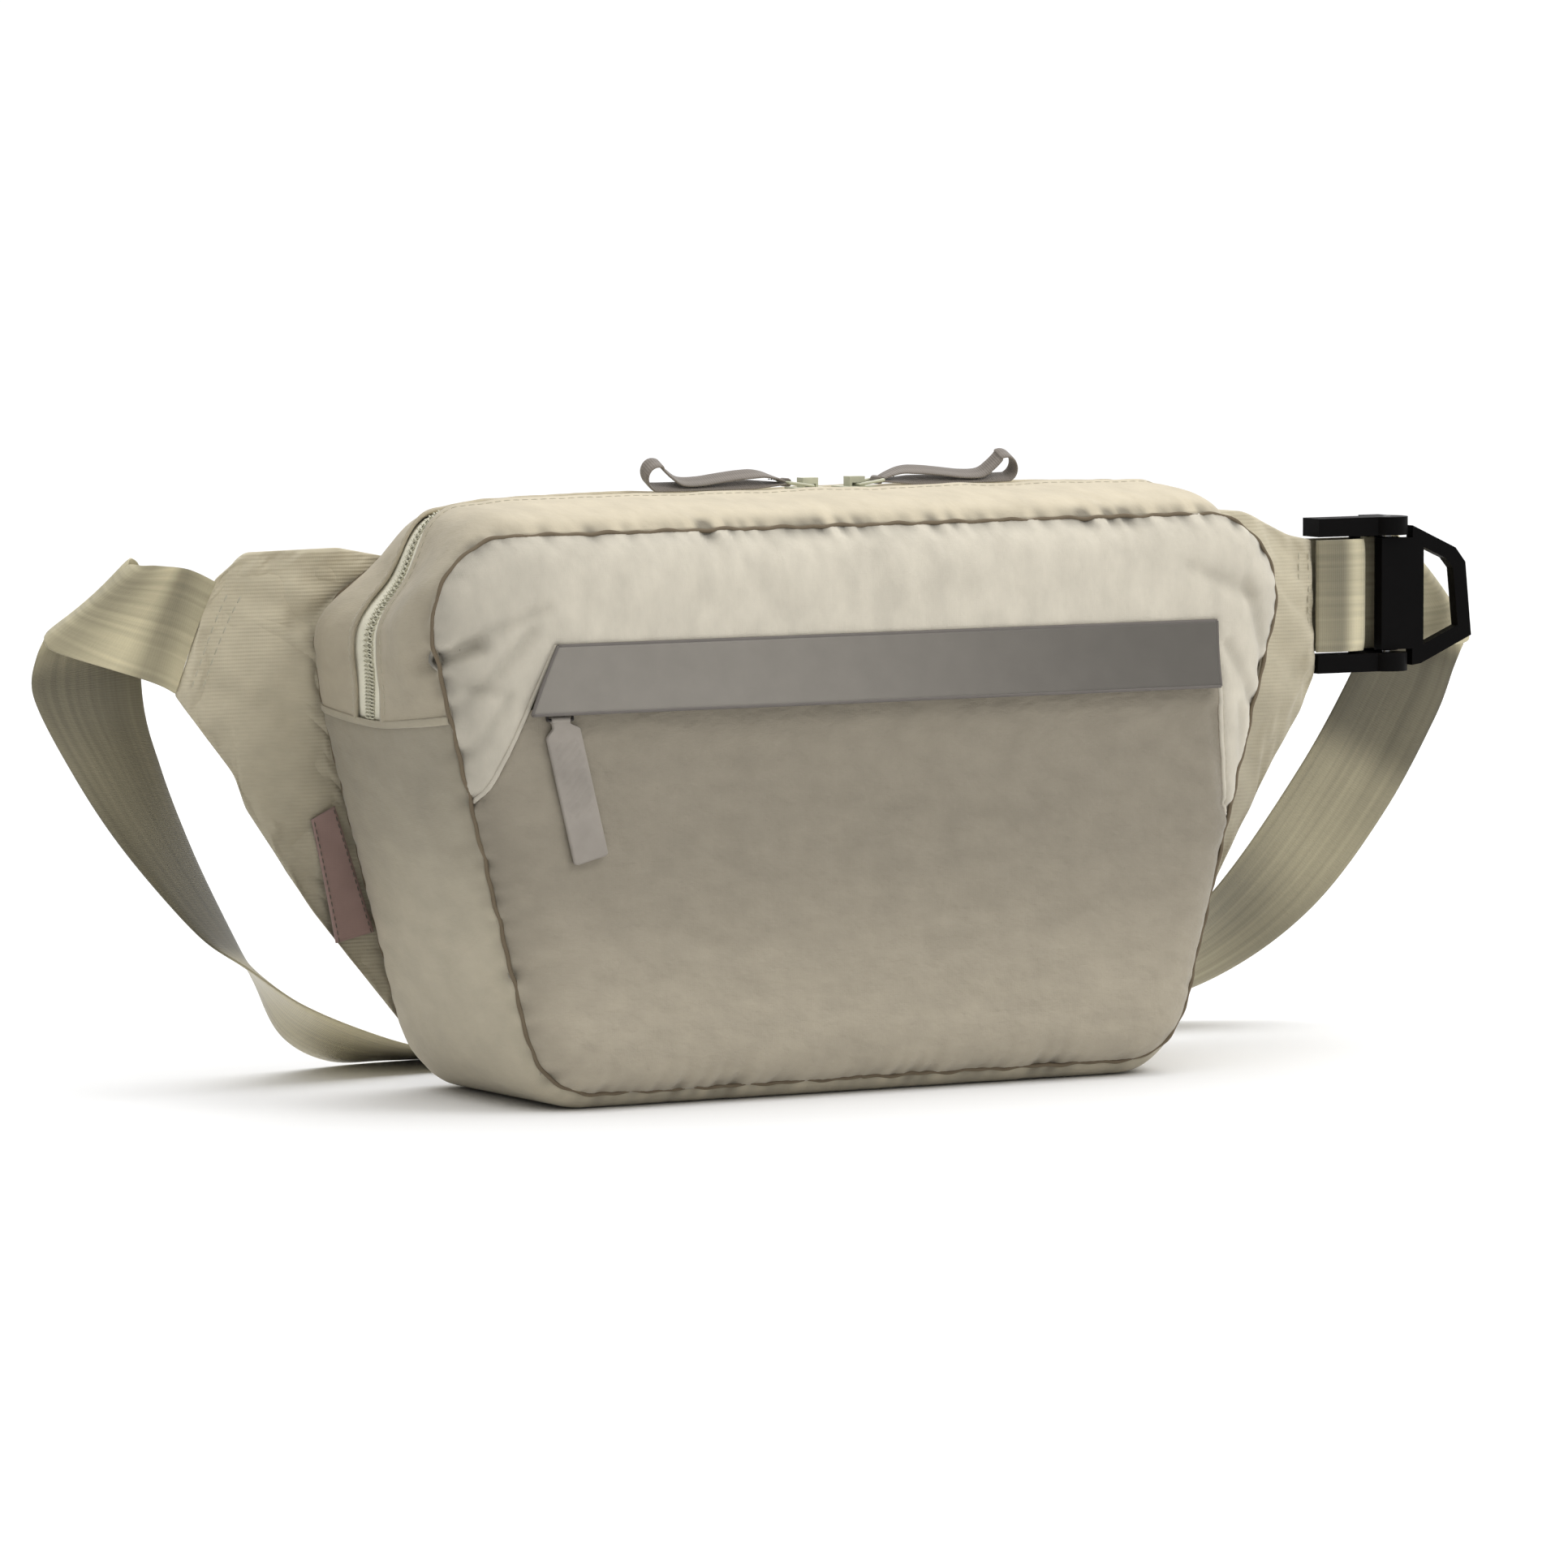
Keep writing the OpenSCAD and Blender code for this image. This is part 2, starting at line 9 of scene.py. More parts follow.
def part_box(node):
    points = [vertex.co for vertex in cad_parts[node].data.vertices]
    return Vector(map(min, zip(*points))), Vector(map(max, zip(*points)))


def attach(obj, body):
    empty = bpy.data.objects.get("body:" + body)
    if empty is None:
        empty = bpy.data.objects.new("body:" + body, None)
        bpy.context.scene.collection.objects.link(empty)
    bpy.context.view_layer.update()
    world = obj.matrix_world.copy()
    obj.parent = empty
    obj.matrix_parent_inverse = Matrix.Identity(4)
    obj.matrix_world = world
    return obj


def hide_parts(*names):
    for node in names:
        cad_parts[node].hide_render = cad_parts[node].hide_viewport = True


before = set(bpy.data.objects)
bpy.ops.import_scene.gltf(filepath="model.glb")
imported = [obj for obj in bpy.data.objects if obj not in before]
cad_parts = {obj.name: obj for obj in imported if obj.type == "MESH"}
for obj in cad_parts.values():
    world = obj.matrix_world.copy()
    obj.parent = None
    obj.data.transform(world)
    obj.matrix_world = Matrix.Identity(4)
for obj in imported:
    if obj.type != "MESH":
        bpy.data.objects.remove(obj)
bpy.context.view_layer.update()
MM = 0.001


# ---- shader nodes ----

class Graph:
    """A node tree, with short calls for the nodes that the materials share."""

    def __init__(self, tree):
        self.nodes = tree.nodes
        self.links = tree.links

    def put(self, socket, value):
        """Gives an input a plain value, or links another node's output to it."""
        if isinstance(value, bpy.types.NodeSocket):
            self.links.new(value, socket)
        else:
            socket.default_value = value

    def add(self, kind, inputs=None, **settings):
        node = self.nodes.new("ShaderNode" + kind)
        for name, value in settings.items():
            setattr(node, name, value)
        for key, value in (inputs or {}).items():
            self.put(node.inputs[key], value)
        return node.outputs

    def multiply_add(self, value, factor, rest):
        return self.add("Math", {0: value, 1: factor, 2: rest}, operation="MULTIPLY_ADD")["Value"]

    def place(self):
        return self.add("TexCoord")["Object"]

    def noise(self, scale, stretch=(1, 1, 1), detail=4.0, source=None):
        """Noise over object coordinates or source, stretched along an axis where its factor is below 1."""
        mapping = self.add("Mapping", {"Vector": source or self.place(), "Scale": stretch})
        return self.add("TexNoise", {"Vector": mapping["Vector"], "Scale": scale, "Detail": detail})["Fac"]

    def wave(self, pitch, direction, source=None):
        """Even waves of the given pitch (m) across a direction."""
        return self.add("TexWave", {"Vector": source or self.place(), "Scale": 1 / pitch / 3},
                        bands_direction=direction)["Fac"]

    def mottle(self, factor, colour, less, more):
        """The colour, from less to more of itself as factor rises."""
        ramp = self.nodes.new("ShaderNodeValToRGB")
        for element, position, share in zip(ramp.color_ramp.elements, (0.3, 0.7), (less, more)):
            element.position = position
            element.color = tuple(min(1, c * share) for c in colour[:3]) + (1,)
        self.put(ramp.inputs["Fac"], factor)
        return ramp.outputs["Color"]

    def times(self, colour, tone):
        return self.add("VectorMath", {0: colour, "Scale": tone}, operation="SCALE")["Vector"]

    def bump(self, shader, heights):
        """Chains bumps, each (height output, distance in metres, strength), into the shader's normal."""
        last = None
        for height, distance, strength in heights:
            inputs = {"Height": height, "Distance": distance, "Strength": strength}
            if last:
                inputs["Normal"] = last
            last = self.add("Bump", inputs)["Normal"]
        self.put(shader.inputs["Normal"], last)


def srgb(red, green, blue):
    """A colour given as 0 to 255 screen values, in the linear values a shader takes."""
    return tuple(((c / 255 + 0.055) / 1.055) ** 2.4 for c in (red, green, blue)) + (1,)


def new_material(name, roughness, sheen=0.0, metallic=0.0, specular=0.5):
    material = bpy.data.materials.new(name)
    material.use_nodes = True
    shader = material.node_tree.nodes["Principled BSDF"]
    for socket, value in (("Roughness", roughness), ("Metallic", metallic), ("Sheen Weight", sheen),
                          ("Specular IOR Level", specular), ("Sheen Roughness", 0.5)):
        shader.inputs[socket].default_value = value
    return material, Graph(material.node_tree), shader


# ---- camera, floor and light ----

def add_object(name, data):
    thing = bpy.data.objects.new(name, data)
    bpy.context.collection.objects.link(thing)
    return thing


def place_camera():
    """The photograph's viewpoint: far away, a little above, 30 degrees to the left of the front."""
    azimuth = math.radians(-30)
    elevation = math.radians(4.69)
    distance = 3.261
    target = Vector((-0.0071, -0.0051, 0.0969))
    away = Vector((math.sin(azimuth) * math.cos(elevation), -math.cos(azimuth) * math.cos(elevation),
                   math.sin(elevation)))
    data = bpy.data.cameras.new("camera")
    data.lens = 232.1
    data.sensor_width = 36
    camera = add_object("camera", data)
    camera.location = target + distance * away
    camera.rotation_euler = away.to_track_quat("Z", "Y").to_euler()
    bpy.context.scene.camera = camera


def area_light(name, location, size, power, target=(0, 0, 0.09)):
    data = bpy.data.lights.new(name, "AREA")
    data.size = size
    data.energy = power
    light = add_object(name, data)
    light.location = location
    light.rotation_euler = (Vector(location) - Vector(target)).to_track_quat("Z", "Y").to_euler()


def light_dome():
    """A white sky, brightest overhead and a little brighter on the right, which leaves a pale floor
    white and upright faces softly shaded."""
    world = bpy.data.worlds.new("studio")
    bpy.context.scene.world = world
    world.use_nodes = True
    graph = Graph(world.node_tree)
    parts = graph.add("SeparateXYZ", {"Vector": graph.add("TexCoord")["Generated"]})
    overhead = graph.add("Math", {0: parts["Z"], 1: 3.0}, operation="POWER")["Value"]
    around = graph.multiply_add(parts["X"], 0.16, 0.32)
    background = graph.nodes["Background"]
    graph.put(background.inputs["Strength"], graph.multiply_add(overhead, 2.1, around))
    background.inputs["Color"].default_value = (1, 1, 1, 1)


def build_floor():
    reach = 900
    mesh = bpy.data.meshes.new("floor")
    mesh.from_pydata([(-reach, -reach, 0), (reach, -reach, 0), (reach, reach, 0), (-reach, reach, 0)],
                     [], [(0, 1, 2, 3)])
    paint, _, shader = new_material("floor_paint", 0.9, specular=0.1)
    shader.inputs["Base Color"].default_value = (0.93, 0.93, 0.93, 1)
    mesh.materials.append(paint)
    add_object("floor", mesh)


place_camera()
light_dome()
area_light("key_light", (0.9, -1.2, 1.7), 0.8, 10)
area_light("rear_light", (1.2, 1.6, 1.4), 1.2, 8)
build_floor()
bpy.context.scene.view_settings.view_transform = "Standard"


# ---- materials ----

def tone_along(graph, axis, places, tones):
    """Painted light and shade: a tone that runs smoothly from one value to another between two places (m) on
    an axis.
    """
    parts = graph.add("SeparateXYZ", {"Vector": graph.place()})
    return graph.add("MapRange", {
        "Value": parts[axis], "From Min": places[0], "From Max": places[1],
        "To Min": tones[0], "To Max": tones[1]}, interpolation_type="SMOOTHSTEP")["Result"]


def painted_shade_along_run(graph, run, stops):
    """Painted light and shade: a tone that changes along a strap; stops are (distance run in mm, tone up to
    2).
    """
    total = stops[-1][0] * MM
    parts = graph.add("SeparateXYZ", {"Vector": run})
    share = graph.add("Math", {0: parts["X"], 1: total}, operation="DIVIDE")["Value"]
    ramp = graph.nodes.new("ShaderNodeValToRGB")
    ramp.color_ramp.interpolation = "EASE"
    elements = ramp.color_ramp.elements
    for place, _ in stops[1:-1]:
        elements.new(place * MM / total)
    for element, (place, tone) in zip(elements, stops):
        element.position = place * MM / total
        element.color = (tone / 2, tone / 2, tone / 2, 1)
    graph.put(ramp.inputs["Fac"], share)
    return graph.add("Math", {0: ramp.outputs["Color"], 1: 2}, operation="MULTIPLY")["Value"]


def painted_shade_of_hollows(graph, most=0.62):
    """Painted shade: a tone that falls where the piece's own "hollow" value rises to 1, darkening its gathers
    and folds; it is 1 without such a value.
    """
    hollow = graph.add("Attribute", attribute_name="hollow")["Fac"]
    return graph.multiply_add(hollow, -most, 1)


def woven(name, colour, roughness=0.8, spread=0.07, sheen=0.15, crinkle=(1, 1, 1), crinkle_depth=0.35,
          thread=0.5 * MM, specular=0.3, tone=None, rib=None):
    """A plain-woven cloth: two crossed sets of threads, fine crinkles and a mottled tone. tone gives an
    (axis, places, tones) change of painted light and shade; rib gives the (pitch, depth) of raised level
    ribs."""
    material, graph, shader = new_material(name, roughness, sheen, specular=specular)
    shade = graph.mottle(graph.noise(110, crinkle), colour, 1 - spread, 1 + spread)
    # Painted light and shade: the cloth grows lighter or darker along an axis, as light falls on the bag.
    if tone:
        shade = graph.times(shade, tone_along(graph, *tone))
    # Painted shade darkens the cloth in its gathers and folds, where its "hollow" value is high.
    graph.put(shader.inputs["Base Color"], graph.times(shade, painted_shade_of_hollows(graph)))
    heights = [(graph.noise(160, crinkle), crinkle_depth * MM, 0.6),
               (graph.wave(thread, "X"), 0.05 * MM, 0.3), (graph.wave(thread, "Z"), 0.05 * MM, 0.3)]
    if rib:
        heights.append((graph.wave(rib[0], "Z"), rib[1], 0.8))
    graph.bump(shader, heights)
    return material


def moulded(name, colour, roughness=0.35, metallic=0.0, grain=0.02, specular=0.5):
    """Moulded plastic, rubber or cast metal with a faint grain and worn patches of roughness."""
    material, graph, shader = new_material(name, roughness, metallic=metallic, specular=specular)
    graph.put(shader.inputs["Base Color"], graph.mottle(graph.noise(90), colour, 0.9, 1.12))
    rough = graph.add("MapRange", {"Value": graph.noise(400), "To Min": roughness * 0.8,
                                   "To Max": min(1, roughness * 1.25)})["Result"]
    graph.put(shader.inputs["Roughness"], rough)
    graph.bump(shader, [(graph.noise(2500), grain * MM, 0.4)])
    return material


def ribbed(name, colour, pitch, depth, roughness, sheen, spread=0.16, stops=None):
    """Webbing or grosgrain: ribs across the run, read from the piece's own run coordinates, streaks along
    it and mottled patches, random tone that on the webbing is partly painted satin sheen. stops gives a
    change of painted light and shade along the run."""
    material, graph, shader = new_material(name, roughness, sheen, specular=0.25)
    run = graph.add("Attribute", attribute_name="run")["Vector"]
    patches = graph.noise(20, (0.7, 1.1, 1), 1.5, run)
    streaks = graph.noise(1, (8, 420, 1), 3, run)
    half = graph.add("Math", {0: patches, 1: 0.5}, operation="MULTIPLY")["Value"]
    # Random streaks and patches; on the webbing the broad patches also paint satin sheen.
    shade = graph.mottle(graph.multiply_add(streaks, 0.5, half), colour, 1 - spread, 1 + spread)
    # Painted light and shade along the strap, where it turns towards or away from the light.
    if stops:
        shade = graph.times(shade, painted_shade_along_run(graph, run, stops))
    graph.put(shader.inputs["Base Color"], shade)
    graph.bump(shader, [(graph.wave(pitch, "X", run), depth, 0.5)])
    return material


# The yoke's nylon; painted shade darkens it towards the bag's left side.
NYLON_LIGHT = woven("nylon_light", srgb(202, 195, 179), crinkle=(1, 1, 0.6), crinkle_depth=1.3, spread=0.09,
                    tone=("X", (-0.155, -0.085), (0.8, 1.0)))
# The pocket panel: the yoke's nylon made darker by painted shade, with painted light from the floor making it
# lighter towards the bottom.
NYLON_PAINTED_SHADE = woven("nylon_dark", srgb(168, 159, 141), crinkle=(0.8, 1, 1.3), crinkle_depth=1.9, spread=0.06,
                   tone=("Z", (0.02, 0.085), (1.02, 0.68)))
# The upper gusset strips' nylon; painted shade darkens it towards the bag's left side.
GUSSET_LIGHT = woven("gusset_nylon", srgb(201, 190, 166), crinkle=(1, 0.6, 1), crinkle_depth=1.2,
                     tone=("X", (-0.165, -0.10), (0.62, 1.0)))
# The lower gusset: the same nylon made darker by painted shade, with painted light from the floor making it
# lighter towards the bottom.
GUSSET_PAINTED_SHADE = woven("gusset_nylon_low", srgb(164, 156, 137), crinkle=(1, 0.6, 1), crinkle_depth=1.2,
                    tone=("Z", (0.03, 0.115), (1.28, 0.76)))
# The hem's nylon, made as dark as the lower gusset's painted shade.
GUSSET_HEM = woven("gusset_hem_nylon", srgb(160, 152, 133), crinkle=(1, 0.6, 1))
# The wings' ribbed nylon; painted light makes it lighter towards the top.
WING_CLOTH = woven("wing_nylon", srgb(170, 162, 141), crinkle=(1, 1, 1.2), crinkle_depth=0.4,
                   tone=("Z", (0.05, 0.175), (0.9, 1.35)), rib=(1.3 * MM, 0.14 * MM))
BACK_MESH = woven("back_mesh_cloth", srgb(138, 133, 122), thread=2.4 * MM, crinkle_depth=0.5)
LINING = woven("lining_cloth", srgb(120, 116, 106), roughness=0.7)
FOAM = woven("foam_skin", srgb(92, 90, 85), roughness=0.9, thread=1.2 * MM)
# The flap's coated cloth; painted shade darkens it towards the right.
COATED = woven("coated_cloth", srgb(134, 129, 121), roughness=0.55, spread=0.04, sheen=0.05,
               crinkle_depth=0.12, thread=0.35 * MM, tone=("X", (-0.07, 0.13), (0.97, 0.48)))
TAPE = woven("zip_tape_cloth", srgb(226, 222, 202), roughness=0.8, thread=0.7 * MM, crinkle_depth=0.1)
TAPE_DARK = woven("pocket_tape_cloth", srgb(120, 116, 102), roughness=0.8, thread=0.7 * MM, crinkle_depth=0.1)
COIL = moulded("coil_nylon", srgb(206, 203, 182), roughness=0.45)
COIL_DARK = moulded("pocket_coil_nylon", srgb(110, 106, 94), roughness=0.5)
CREAM = moulded("slider_cream_enamel", srgb(196, 196, 172), roughness=0.4)
DARK_METAL = moulded("slider_dark_metal", srgb(58, 55, 52), roughness=0.35, metallic=0.6)
RUBBER = moulded("pull_rubber_moulded", srgb(146, 139, 130), roughness=0.6, grain=0.05)
BUCKLE = moulded("buckle_acetal", srgb(9, 8, 8), roughness=0.5, grain=0.03, specular=0.05)
STEEL = moulded("pin_polished", srgb(150, 150, 150), roughness=0.25, metallic=1.0)
THREAD = woven("sewing_thread", srgb(176, 170, 150), roughness=0.7, thread=0.3 * MM)
THREAD_DARK = woven("sewing_thread_dark", srgb(84, 79, 68), roughness=0.8, thread=0.3 * MM)
COATED_EDGE = woven("coated_edge", srgb(104, 99, 94), roughness=0.5, spread=0.04, sheen=0.0,
                    crinkle_depth=0.05)
LABEL = woven("label_cloth", srgb(142, 118, 111), roughness=0.75, thread=0.5 * MM, crinkle_depth=0.05)
# The seam cord's colour: partly the seam allowance's own brown, partly painted shadow in the seam's valley.
SEAM_ALLOWANCE_AND_SHADOW = woven("seam_allowance_and_painted_shadow", srgb(112, 100, 82), roughness=0.9, sheen=0.0, thread=0.6 * MM)
BINDING_TAPE = woven("binding_tape", srgb(108, 103, 92), roughness=0.85, thread=0.8 * MM)

# The satin strap's shade where it turns towards or away from the light: distance run (mm) and tone
STRAP_PAINTED_SHADE = [(0, 1.1), (11, 0.65), (19, 1.4), (34, 0.85), (41, 1.3), (52, 0.75), (68, 0.4), (178, 0.36),
                (194, 1.1), (240, 1.5), (270, 1.3), (290, 1), (560, 0.95), (592, 0.5), (628, 0.85),
                (650, 0.8), (668, 0.36), (700, 0.36), (722, 1.5), (770, 0.7), (812, 0.6)]
# The anchor webbing's painted satin highlights and shade round the buckle's bar: distance run (mm) and tone
ANCHOR_PAINTED_SHADE = [(0, 0.6), (9, 0.45), (16, 1.25), (24, 0.5), (33, 0.7), (45, 0.8)]
WEBBING = ribbed("webbing_satin", srgb(166, 158, 131), 0.8 * MM, 0.08 * MM, 0.36, 0.1, spread=0.36,
                 stops=STRAP_PAINTED_SHADE)
WEBBING_SHORT = ribbed("anchor_webbing_satin", srgb(176, 168, 141), 0.8 * MM, 0.08 * MM, 0.36, 0.1,
                       spread=0.3, stops=ANCHOR_PAINTED_SHADE)
GROSGRAIN = ribbed("grosgrain", srgb(126, 118, 110), 0.9 * MM, 0.2 * MM, 0.7, 0.2, spread=0.25)


# ---- mesh helpers ----

# Slack upper corners at the back of the bag (mm): place, reach and how far each sinks
SLACK_CORNERS = [((-147, 184), 34, 16), ((150, 184), 34, 6)]
# The slack at the zip's left end, between front and back: the same three values
SLACK_SIDE = ((-158, 154), 28, 11)
# The depth, about the bag's own, over which the rear corners' slack fades out towards the front
SLACK_DEPTH = 86 * MM


def sag(points):
    """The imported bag's slack corners sink towards its middle, most at the back."""
    points = np.array(points, float)
    depth = np.clip(points[:, 1] / SLACK_DEPTH + 0.5, 0, 1)
    # Nothing sinks out on the wings
    inner = np.clip((190 * MM - np.abs(points[:, 0])) / (20 * MM), 0, 1)
    amounts = [(corner, reach, sink * depth ** 2) for corner, reach, sink in SLACK_CORNERS]
    corner, reach, sink = SLACK_SIDE
    amounts.append((corner, reach, sink * np.exp(-(points[:, 1] / (25 * MM)) ** 2)))
    moved = points.copy()
    for (x, z), reach, sink in amounts:
        gap = np.hypot(points[:, 0] - x * MM, points[:, 2] - z * MM)
        pull = sink * MM * inner * np.exp(-(gap / (reach * MM)) ** 2)
        moved[:, 0] -= math.copysign(0.75, x) * pull
        moved[:, 2] -= 0.66 * pull
    return moved


def make_piece(name, points, faces, material, body="root", node=None, slack=True):
    """A smooth mesh object that rides on a body and stands for the CAD node named in node. With slack, a
    piece on the bag itself sinks with the slack corners."""
    if slack and body == "root":
        points = sag(points)
    mesh = bpy.data.meshes.new(name)
    mesh.from_pydata([tuple(p) for p in np.asarray(points, float)], [], [tuple(f) for f in faces])
    mesh.materials.append(material)
    mesh.polygons.foreach_set("use_smooth", [True] * len(mesh.polygons))
    mesh.update()
    piece = add_object(name, mesh)
    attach(piece, body)
    if node:
        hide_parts(node)
    return piece


# Stores the "hollow" value, 0 to 1, that sets where painted shade darkens a piece: its gathers and folds.
def mark_painted_shade(piece, values):
    layer = piece.data.attributes.new("hollow", "FLOAT", "POINT")
    layer.data.foreach_set("value", np.clip(values, 0, 1).astype(np.float32))


def grid_faces(rows, cols, closed=False):
    """Quads of a grid of points, its columns joined into rings when closed."""
    faces = []
    across = cols if closed else cols - 1
    for i in range(rows - 1):
        for j in range(across):
            k = (j + 1) % cols
            faces.append((i * cols + j, i * cols + k, (i + 1) * cols + k, (i + 1) * cols + j))
    return faces


def two_faced(rows, cols):
    """Quads of two equal grids back to back, joined round their border, and the border's point numbers."""
    count = rows * cols
    front = grid_faces(rows, cols)
    faces = front + [tuple(k + count for k in f[::-1]) for f in front]
    border = ([j for j in range(cols)] + [i * cols + cols - 1 for i in range(1, rows)]
              + [(rows - 1) * cols + j for j in range(cols - 2, -1, -1)]
              + [i * cols for i in range(rows - 2, 0, -1)])
    for a, b in zip(border, border[1:] + border[:1]):
        faces.append((b, a, a + count, b + count))
    return faces, border


def lattice(rows, cols):
    """Row and column values at every point of a grid, ready for grid_faces."""
    row, col = np.meshgrid(rows, cols, indexing="ij")
    return row.ravel(), col.ravel()


def points_at(x, y, z):
    """Points from their coordinates, each an array or one value for all."""
    return np.column_stack(np.broadcast_arrays(x, y, z))


def mid_y(node):
    """The middle of a CAD node's depth."""
    low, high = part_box(node)
    return (low.y + high.y) / 2


def thicken(piece, thickness, offset=-1.0):
    solid = piece.modifiers.new("thickness", "SOLIDIFY")
    solid.thickness = thickness
    solid.offset = offset


def fbm(points, size, octaves=4, seed=0.0, stretch=(1, 1, 1)):
    """Smooth noise in -1..1 at each point; size is its coarsest grain in metres."""
    scale = np.array(stretch) / size
    out = np.empty(len(points))
    for i, p in enumerate(points):
        out[i] = noise.fractal(Vector((p[0] * scale[0] + seed, p[1] * scale[1], p[2] * scale[2])),
                               1.0, 2.0, octaves)
    return out


# ---- the bag's outline, read from the frame ----

yoke_low, yoke_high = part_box("front_yoke")
panel_low, panel_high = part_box("pocket_panel")
SEAM_TOP = yoke_high.z
SEAM_LOW = panel_low.z
HALF_DEPTH = -yoke_high.y
FRONT_CROWN = -HALF_DEPTH - yoke_low.y
TOP_HALF = 165 * MM
BASE_HALF = 117.5 * MM
TOP_RADIUS = 28 * MM
BASE_RADIUS = 25 * MM
LEAN = math.atan((TOP_HALF - BASE_HALF) / (SEAM_TOP - SEAM_LOW))
TOP_CROWN = 9 * MM
SIDE_CROWN = 6.5 * MM
CORNER_PULL = 7 * MM
ZIP_END = 126 * MM


# Where a panel reaches its full crown, the valley along a seam and how far gathers run from it
EDGE_ROUND = 18 * MM
VALLEY_WIDE = 1.6 * MM
GATHER_REACH = 7 * MM
# Points on each rounded corner of the outline
ARC_STEPS = 40


def half_at(z):
    return BASE_HALF + (z - SEAM_LOW) * math.tan(LEAN)


def corner_centre(radius, z):
    return half_at(z) - radius / math.cos(LEAN), z


def trace_seam():
    """The closed seam as columns x, z, nx, nz and distance run, from the middle of the base to the right."""
    low_x, low_z = corner_centre(BASE_RADIUS, SEAM_LOW + BASE_RADIUS)
    top_x, top_z = corner_centre(TOP_RADIUS, SEAM_TOP - TOP_RADIUS)
    half = [(0, SEAM_LOW, 0, -1)]
    for centre_x, centre_z, radius, start, end in (
            (low_x, low_z, BASE_RADIUS, -math.pi / 2, -LEAN), (top_x, top_z, TOP_RADIUS, -LEAN, math.pi / 2)):
        for a in np.linspace(start, end, ARC_STEPS):
            half.append((centre_x + radius * math.cos(a), centre_z + radius * math.sin(a),
                         math.cos(a), math.sin(a)))
    half.append((0, SEAM_TOP, 0, 1))
    other = [(-x, z, -nx, nz) for x, z, nx, nz in half[-2::-1]]
    points = np.array(half + other)
    steps = np.hypot(np.diff(points[:, 0]), np.diff(points[:, 1]))
    return np.column_stack([points, np.concatenate([[0], np.cumsum(steps)])])


SEAM = trace_seam()
SEAM_RUN = SEAM[-1, 4]


def on_seam(s):
    """x, z, nx and nz of the seam at the distances s."""
    s = np.mod(s, SEAM_RUN)
    return [np.interp(s, SEAM[:, 4], SEAM[:, k]) for k in range(4)]


FINE_RUN = np.linspace(0, SEAM_RUN, 1400, endpoint=False)
FINE_X, FINE_Z = on_seam(FINE_RUN)[:2]


def seam_run_at(x, z):
    """Distance run along the seam to the place nearest (x, z)."""
    return FINE_RUN[np.argmin(np.hypot(FINE_X - x, FINE_Z - z))]


def nearest_seam(x, z):
    """How far each point lies inside the seam, and the distance run of the seam's nearest place."""
    inset, run = np.empty(len(x)), np.empty(len(x))
    batch = 2000
    for i in range(0, len(x), batch):
        part = slice(i, i + batch)
        gap = np.hypot(x[part, None] - FINE_X, z[part, None] - FINE_Z)
        nearest = gap.argmin(1)
        inset[part] = gap[np.arange(len(nearest)), nearest]
        run[part] = FINE_RUN[nearest]
    return inset, run


def rise_from_seam(inset):
    """How much of its full crown a panel has at each distance inside the seam."""
    return np.sqrt(1 - (1 - np.clip(inset / EDGE_ROUND, 0, 1)) ** 2)


def valley(away):
    """0.08 at the seam, rising to 1 away from it."""
    return 1 - 0.92 * np.exp(-away / VALLEY_WIDE)


def near_seam(away):
    """1 at the seam, falling to nothing over the reach of the gathers."""
    return np.exp(-(away / GATHER_REACH) ** 1.3)


def coons(bottom, top, left, right):
    """A grid of points between four edge curves: rows run from bottom to top."""
    v = np.linspace(0, 1, len(left))[:, None, None]
    u = np.linspace(0, 1, len(bottom))[None, :, None]
    corners = ((1 - u) * (1 - v) * bottom[0] + u * (1 - v) * bottom[-1]
               + (1 - u) * v * top[0] + u * v * top[-1])
    return (1 - v) * bottom[None] + v * top[None] + (1 - u) * left[:, None] + u * right[:, None] - corners


def panel_grid(across, up):
    """x and z of a grid over the whole panel; its corners are the middles of the outline's corners."""
    diagonal = 0.74
    low = seam_run_at(*np.array(corner_centre(BASE_RADIUS, SEAM_LOW + BASE_RADIUS))
                      + BASE_RADIUS * diagonal * np.array([1, -1]))
    high = seam_run_at(*np.array(corner_centre(TOP_RADIUS, SEAM_TOP - TOP_RADIUS))
                       + TOP_RADIUS * diagonal * np.array([1, 1]))

    def edge(start, end, count):
        return np.column_stack(on_seam(np.linspace(start, end, count))[:2])
    return coons(edge(-low, low, across), edge(SEAM_RUN - high, high, across),
                 edge(-low, -high, up), edge(low, high, up))


def pucker_table():
    """Uneven gathers for each place of FINE_RUN, 0 to 1: small ones, stronger in some stretches."""
    gather, stretch = 0.0052, 0.016
    table = np.empty(len(FINE_RUN))
    for i, run in enumerate(FINE_RUN):
        small = noise.noise(Vector((run / gather, 3.1, 0)))
        large = noise.noise(Vector((run / stretch, 7.7, 0)))
        table[i] = max(0, 0.35 + 1.1 * small) * max(0.25, 0.6 + 0.9 * large)
    return np.clip(table, 0, 1)


PUCKERS = pucker_table()


def pucker(s):
    return np.interp(np.mod(s, SEAM_RUN), FINE_RUN, PUCKERS)


def crease(x, z, start, end, width, depth):
    """A fold line's depth at each point: a smooth groove between two places, fading at its ends."""
    start, end = np.array(start) * MM, np.array(end) * MM
    along = end - start
    t = ((x - start[0]) * along[0] + (z - start[1]) * along[1]) / (along @ along)
    t_in = np.clip(t, 0, 1)
    away = np.hypot(x - start[0] - t_in * along[0], z - start[1] - t_in * along[1])
    return depth * MM * np.exp(-(away / (width * MM)) ** 2)


# ---- front of the bag ----

